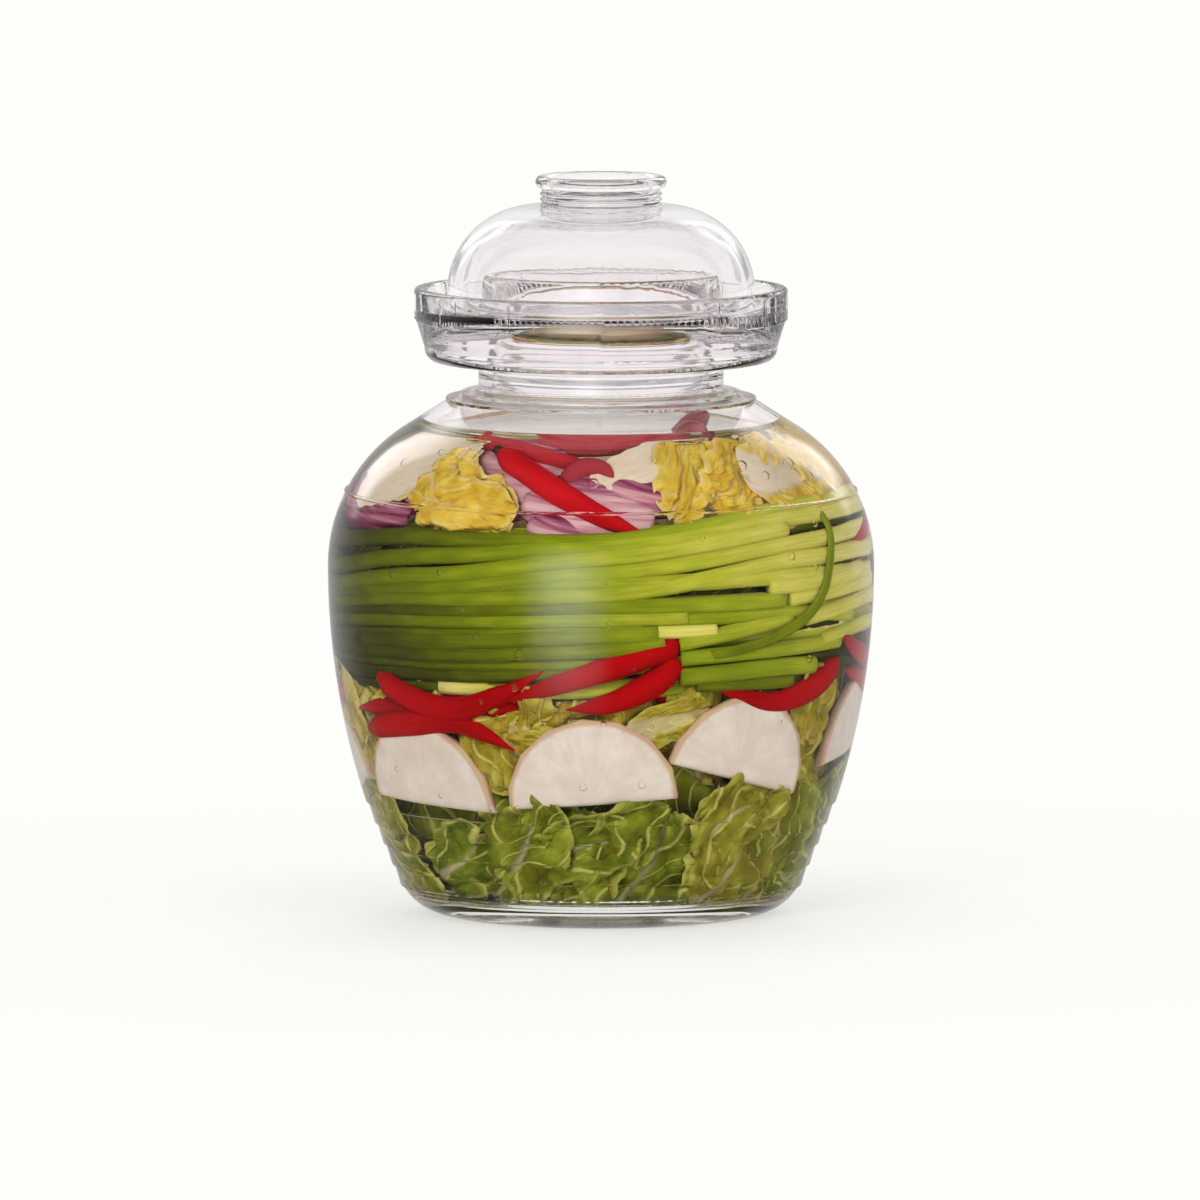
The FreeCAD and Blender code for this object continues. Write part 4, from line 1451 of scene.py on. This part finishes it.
@dataclass
class LoopedLeaf:
    """The single flat garlic leaf that loops down in front of the stems' ends.

    Attributes:
        wall: The glass's inner face.
        knots: The spots it passes.
    """

    wall: Wall
    knots: tuple[Spot, ...] = (
        Spot(60, 128, 3.0),
        Spot(61, 122, 1.2),
        Spot(59, 113, 1.2),
        Spot(56, 104, 1.2),
        Spot(50, 97, 1.2),
        Spot(40, 91.5, 1.2),
        Spot(28, 88, 1.4),
        Spot(16, 86, 4.0),
    )

    def build(self, bench: Bench) -> None:
        """Makes the leaf as a flat sweep."""
        path = [self.wall.point(spot) for spot in smooth_course(self.knots, 6)]
        count = len(path) - 1
        radii = [1.2 + 0.75 * math.sin(math.pi * min(1.0, i / count * 0.9 + 0.1)) for i in range(count + 1)]
        bm = bmesh.new()
        Sweep(12, 0.42).build(bm, path, radii, (End.CUT, End.CUT), -0.02, (0.5, 0.4))
        bench.piece(bm, "looped_leaf", [GarlicStem("garlic_leaf_skin").material()])


@dataclass
class Liquids:
    """The brine, the sealing water and the air trapped in the brine.

    Attributes:
        wall: The glass's inner face.
        reach: Millimetres by which a liquid reaches into the glass, so that no air shows between.
        steps: Steps of the brine's outline up the wall.
        climb: How the brine climbs the glass: millimetres in from it and above its level.
        clinging: Bubbles on the glass in front, each with its radius in mm.
        squeeze: Thickness of a bubble against the glass, as a share of its width.
    """

    wall: Wall
    reach: float = 0.15
    steps: int = 64
    climb: tuple[tuple[float, float], ...] = ((0.15, 1.8), (0.6, 1.3), (1.4, 0.7), (2.6, 0.25), (4.4, 0.0))
    clinging: tuple[tuple[Spot, float], ...] = (
        (Spot(-51, 110), 1.3),
        (Spot(-37, 112), 1.2),
        (Spot(-23, 108), 0.9),
        (Spot(-31, 101), 1.0),
        (Spot(-18, 88), 1.7),
        (Spot(2, 98), 1.2),
        (Spot(-28, 93), 1.2),
        (Spot(46, 116), 1.4),
        (Spot(52, 84), 1.2),
        (Spot(-2, 139), 1.8),
        (Spot(40, 142), 2.2),
        (Spot(46, 139), 1.6),
        (Spot(58, 141), 2.6),
        (Spot(63, 137), 1.8),
        (Spot(-62, 141), 1.6),
        (Spot(-50, 145), 1.4),
    )
    squeeze: float = 0.72

    def brine(self, bench: Bench) -> None:
        """Makes the brine: its outline, spun, with the skin that climbs the glass at its level."""
        bm = bmesh.new()
        low, high = self.wall.course[0][0], self.wall.level
        outline = [(0.0, low - self.reach)]
        for step in range(self.steps + 1):
            height = low + (high - low) * (step / self.steps)
            outline.append((self.wall.radius(height) + self.reach, height if step else low - self.reach))
        edge = self.wall.radius(high)
        outline += [(edge - inward, high + above) for inward, above in self.climb]
        outline += [(edge * 0.5, high), (0.0, high)]
        points = [bm.verts.new((r * MM, 0.0, z * MM)) for r, z in outline]
        for first, second in zip(points, points[1:]):
            bm.edges.new((first, second))
        bmesh.ops.spin(
            bm,
            geom=[*bm.verts, *bm.edges],
            cent=(0, 0, 0),
            axis=(0, 0, 1),
            angle=math.tau,
            steps=160,
            use_merge=True,
        )
        bmesh.ops.remove_doubles(bm, verts=bm.verts, dist=1e-6)
        finish = ClearBody("salt_brine", WATER, "E2E295", 2.2, mirrors=False)
        body = bench.piece(bm, "brine_body", [finish.material()])
        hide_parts("brine")

    def seal_water(self, bench: Bench) -> None:
        """Makes the sealing water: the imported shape, pushed out a little everywhere but at its surface."""
        bm = bmesh.new()
        bm.from_mesh(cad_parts["seal_water"].data)
        bmesh.ops.remove_doubles(bm, verts=bm.verts, dist=1e-6)
        bmesh.ops.recalc_face_normals(bm, faces=bm.faces)
        bm.normal_update()
        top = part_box("seal_water")[1].z
        pushes = {}
        for vert in bm.verts:
            push = vert.normal.copy()
            if vert.co.z > top - 0.05 * MM:
                push.z = 0.0
            pushes[vert] = push.normalized() * self.reach * MM if push.length > 0.05 else Vector()
        for vert, push in pushes.items():
            vert.co += push
        finish = ClearBody("sealing_water", WATER, mirrors=False)
        body = bench.piece(bm, "seal_water_body", [finish.material()])
        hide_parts("seal_water")

    def bubbles(self, bench: Bench) -> None:
        """Makes the bubbles that cling to the glass, flattened against it."""
        pick = random.Random(8)
        spots = list(self.clinging)
        for _ in range(60):
            spot = Spot(pick.uniform(-180, 180), pick.uniform(30, 144))
            spots.append((spot, pick.choice((0.5, 0.6, 0.7, 0.9, 1.2))))
        bm = bmesh.new()
        for spot, size in spots:
            ball = bmesh.ops.create_uvsphere(bm, u_segments=16, v_segments=10, radius=size * MM)["verts"]
            out = Matrix.Rotation(math.radians(spot.azimuth), 4, "Z")
            flat = Matrix.Diagonal((1.0, self.squeeze, 1.0, 1.0))
            middle = self.wall.point(Spot(spot.azimuth, spot.height, size * self.squeeze + 0.12))
            bmesh.ops.transform(bm, matrix=Matrix.Translation(middle) @ out @ flat, verts=ball)
        bench.piece(bm, "air_bubbles", [ClearBody("trapped_air", AIR_IN_BRINE).material()])


@dataclass
class Glassware:
    """The jar and its bell lid, as packed.

    Pressed soda-lime glass: quite clear, faintly lilac through a thick edge, with the mould's slow waves.

    Attributes:
        lilac: sRGB hex of what one pass through the glass's surface leaves.
        pressings: Each node with the size and height of its waves, in mm.
        touch: Distance within which a liquid wets a face, in mm.
    """

    lilac: str = "FEFCFD"
    pressings: tuple[tuple[str, float, float], ...] = (("jar", 22.0, 0.10), ("lid", 14.0, 0.12))
    touch: float = 0.25

    def dress(self) -> None:
        """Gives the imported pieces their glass, and the chillies that stand out of the brine their skin."""
        # The lilac is put on at the surface: light may go in by a wetted face and out by a dry one,
        # and a tint inside the glass would then follow it out of the jar.
        for node, wave, height in self.pressings:
            dry = ClearBody(f"pressed_{node}_glass", wave=wave, depth=height, tint=self.lilac)
            wet = ClearBody(f"wetted_{node}_glass", mirrors=False, tint=self.lilac)
            self.assign(node, [dry.material(), wet.material()])
            self.wet(node)
        pod = DryChilliSkin("risen_chilli_skin", "5E1418", "8A2A2E", "B4484C").material()
        for node in ("long_chilli", "arched_chilli"):
            self.assign(node, [pod])

    def wet(self, node: str) -> None:
        """Gives the second material to the faces that a liquid lies against."""
        liquids = []
        for name in ("brine", "seal_water"):
            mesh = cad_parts[name].data
            liquids.append(
                BVHTree.FromPolygons([v.co for v in mesh.vertices], [p.vertices for p in mesh.polygons])
            )
        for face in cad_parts[node].data.polygons:
            near = any(tree.find_nearest(face.center, self.touch * MM)[0] is not None for tree in liquids)
            face.material_index = 1 if near else 0

    def assign(self, node: str, coats: Sequence[bpy.types.Material]) -> None:
        """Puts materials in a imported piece's slots."""
        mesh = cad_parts[node].data
        mesh.materials.clear()
        for coat in coats:
            mesh.materials.append(coat)
        log.info("%s: dressed", node)


@dataclass(frozen=True)
class Lamp:
    """A soft box aimed at the jar's middle.

    Attributes:
        name: The lamp's name.
        place: Where it hangs, in metres.
        size: Its width and height, in metres.
        power: Its power, in watts.
    """

    name: str
    place: tuple[float, float, float]
    size: tuple[float, float]
    power: float


@dataclass
class Studio:
    """Floor, lamps, surround and camera.

    Attributes:
        floor_radius: Radius of the floor, in metres.
        lamps: The lamps.
        middle: Where the lamps aim, in metres.
        lens: Focal length of the camera, in mm, on a sensor 36 mm wide.
        eye: Where the camera stands, in metres.
        aim: Where it looks, in metres.
    """

    floor_radius: float = 12.0
    lamps: tuple[Lamp, ...] = (
        Lamp("key_left", (-1.2, -2.4, 1.25), (0.9, 0.9), 41.0),
        Lamp("fill_right", (1.9, -1.9, 0.9), (0.8, 1.2), 20.0),
        Lamp("back_top", (0.4, 2.4, 1.5), (1.4, 0.8), 40.0),
    )
    middle: tuple[float, float, float] = (0.0, 0.0, 0.1)
    lens: float = 483.9
    eye: tuple[float, float, float] = (0.0, -5.0, 0.6)
    aim: tuple[float, float, float] = (-0.00031, 0.0, 0.097)

    def floor(self) -> None:
        """Lays a wide round floor."""
        bm = bmesh.new()
        bmesh.ops.create_circle(bm, cap_ends=True, segments=64, radius=self.floor_radius)
        mesh = bpy.data.meshes.new("studio_floor")
        bm.to_mesh(mesh)
        bm.free()
        mesh.materials.append(PaleFloor("studio_floor").material())
        floor = bpy.data.objects.new("studio_floor", mesh)
        bpy.context.scene.collection.objects.link(floor)

    def surround(self) -> None:
        """Makes the surround: plain white to the eye, a white tent with narrow dark gaps for the glass."""
        world = bpy.data.worlds.new("white_tent")
        bpy.context.scene.world = world
        world.use_nodes = True
        tree = world.node_tree
        tree.nodes.clear()
        place = add(tree, "TexCoord")
        lay = add(tree, "SeparateXYZ", {0: place.outputs["Generated"]})
        turn = add(tree, "Math", {0: lay.outputs["X"], 1: lay.outputs["Y"]}, operation="ARCTAN2")
        # Eight dark gaps in the tent, half way between the quarter views, draw the glass's edges.
        eighth = math.pi / 8
        gap = add(tree, "Math", {0: turn, 1: eighth}, operation="PINGPONG")
        gap = add(
            tree,
            "MapRange",
            {
                "Value": gap,
                "From Min": eighth - 0.13,
                "From Max": eighth - 0.05,
                "To Min": 1.0,
                "To Max": 0.3,
            },
            interpolation_type="SMOOTHSTEP",
        )
        roof = add(
            tree,
            "ValToRGB",
            {"Fac": lay.outputs["Z"]},
            stops=((0.0, 1.0), (0.3, 1.0), (0.5, 0.85), (0.62, 0.5), (0.8, 0.7)),
        )
        tent = add(tree, "Mix", {0: 1.0, 6: roof, 7: gap}, data_type="RGBA", blend_type="MULTIPLY")
        lit = add(tree, "Background", {"Color": tent.outputs[2], "Strength": 1.0})
        sweep = add(
            tree,
            "MapRange",
            {"Value": lay.outputs["Y"], "From Min": 0.45, "From Max": 0.95, "To Min": 0.08, "To Max": 0.6},
            interpolation_type="SMOOTHSTEP",
        )
        box = self.soft_box(tree, turn.outputs[0], lay.outputs["Z"])
        shine = add(tree, "Math", {0: box, 1: 3.4, 2: sweep}, operation="MULTIPLY_ADD")
        room = add(tree, "Background", {"Color": linear("FBF8FA"), "Strength": shine})
        soft = add(tree, "Background", {"Color": linear("F4F3F0"), "Strength": 0.42})
        white = add(tree, "Background", {"Color": linear(WHITE), "Strength": 1.0})
        path = add(tree, "LightPath")
        shiny = add(tree, "MixShader", {0: path.outputs["Is Glossy Ray"], 1: soft, 2: room})
        inner = add(tree, "MixShader", {0: path.outputs["Is Transmission Ray"], 1: shiny, 2: lit})
        outer = add(tree, "MixShader", {0: path.outputs["Is Camera Ray"], 1: inner, 2: white})
        add(tree, "OutputWorld", {"Surface": outer})

    def soft_box(self, tree: Any, turn: Any, lift: Any) -> Any:
        """Makes the pale soft boxes that the glass mirrors: a tall one in front and two high ones behind.

        Args:
            tree: The world's node tree.
            turn: Socket of the direction's azimuth from the back, in radians.
            lift: Socket of the direction's upward share, from -1 to 1.

        Returns:
            Socket that is 1 inside a box and 0 outside.
        """
        side = add(tree, "Math", {0: turn, 1: math.radians(-165)}, operation="SUBTRACT")
        side = add(tree, "Math", {0: side, 1: math.pi}, operation="PINGPONG")
        front = add(
            tree,
            "MapRange",
            {"Value": side, "From Min": 0.0, "From Max": 0.4, "To Min": 1.0, "To Max": 0.0},
            interpolation_type="SMOOTHSTEP",
        )
        height = add(tree, "Math", {0: lift, 1: 0.5, 2: 0.5}, operation="MULTIPLY_ADD")
        tall = add(
            tree, "ValToRGB", {"Fac": height}, stops=((0.28, 0.0), (0.42, 1.0), (0.6, 1.0), (0.72, 0.0))
        )
        box = add(tree, "Math", {0: front, 1: tall}, operation="MULTIPLY")
        off = add(tree, "Math", {0: turn}, operation="ABSOLUTE")
        off = add(tree, "Math", {0: off, 1: math.radians(30)}, operation="SUBTRACT")
        off = add(tree, "Math", {0: off}, operation="ABSOLUTE")
        behind = add(
            tree,
            "MapRange",
            {"Value": off, "From Min": 0.1, "From Max": 0.26, "To Min": 0.8, "To Max": 0.0},
            interpolation_type="SMOOTHSTEP",
        )
        high = add(
            tree, "ValToRGB", {"Fac": height}, stops=((0.56, 0.0), (0.64, 1.0), (0.78, 1.0), (0.86, 0.0))
        )
        both = add(tree, "Math", {0: behind, 1: high, 2: box}, operation="MULTIPLY_ADD")
        return both.outputs[0]

    def hang(self, lamp: Lamp) -> None:
        """Hangs one lamp, aimed at the jar."""
        light = bpy.data.lights.new(lamp.name, "AREA")
        light.shape = "RECTANGLE"
        light.size, light.size_y = lamp.size
        light.energy = lamp.power
        made = bpy.data.objects.new(lamp.name, light)
        made.location = lamp.place
        made.rotation_euler = self.turn(lamp.place, self.middle)
        made.visible_glossy = False
        made.visible_transmission = False
        bpy.context.scene.collection.objects.link(made)

    def turn(self, start: Sequence[float], target: Sequence[float]) -> Any:
        """Rotation that turns a lamp or the camera from its place to what it looks at."""
        return (Vector(target) - Vector(start)).to_track_quat("-Z", "Y").to_euler()

    def camera(self) -> None:
        """Stands the camera well back and a little above, level with the horizon."""
        lens = bpy.data.cameras.new("camera")
        lens.lens = self.lens
        lens.sensor_width = 36.0
        lens.clip_start = 0.5
        lens.clip_end = 60.0
        made = bpy.data.objects.new("camera", lens)
        made.location = self.eye
        made.rotation_euler = self.turn(self.eye, self.aim)
        bpy.context.scene.collection.objects.link(made)
        bpy.context.scene.camera = made

    def build(self) -> None:
        """Sets the studio up."""
        scene = bpy.context.scene
        scene.view_settings.view_transform = "Standard"
        # Light mirrored again and again inside the moat's wall turns black when it is cut off early.
        scene.cycles.max_bounces = 48
        scene.cycles.glossy_bounces = 40
        scene.cycles.transmission_bounces = 40
        scene.cycles.transparent_max_bounces = 24
        self.floor()
        self.surround()
        for lamp in self.lamps:
            self.hang(lamp)
        self.camera()


def main() -> None:
    """Builds the jar's contents, dresses the glass and sets the studio up."""
    logging.basicConfig(level=logging.INFO, format="%(name)s: %(message)s")
    bench = Bench()
    wall = Wall.read("brine")
    CabbageLayers(wall).build(bench)
    Radish(wall).build(bench)
    Chillies(wall).build(bench)
    GarlicStems(wall).build(bench)
    LoopedLeaf(wall).build(bench)
    Onion(wall).build(bench)
    liquids = Liquids(wall)
    liquids.brine(bench)
    liquids.seal_water(bench)
    liquids.bubbles(bench)
    Glassware().dress()
    Studio().build()
    log.info("%d new pieces", len(bench.made))
    bpy.context.view_layer.update()


if __name__ == "__main__":
    main()
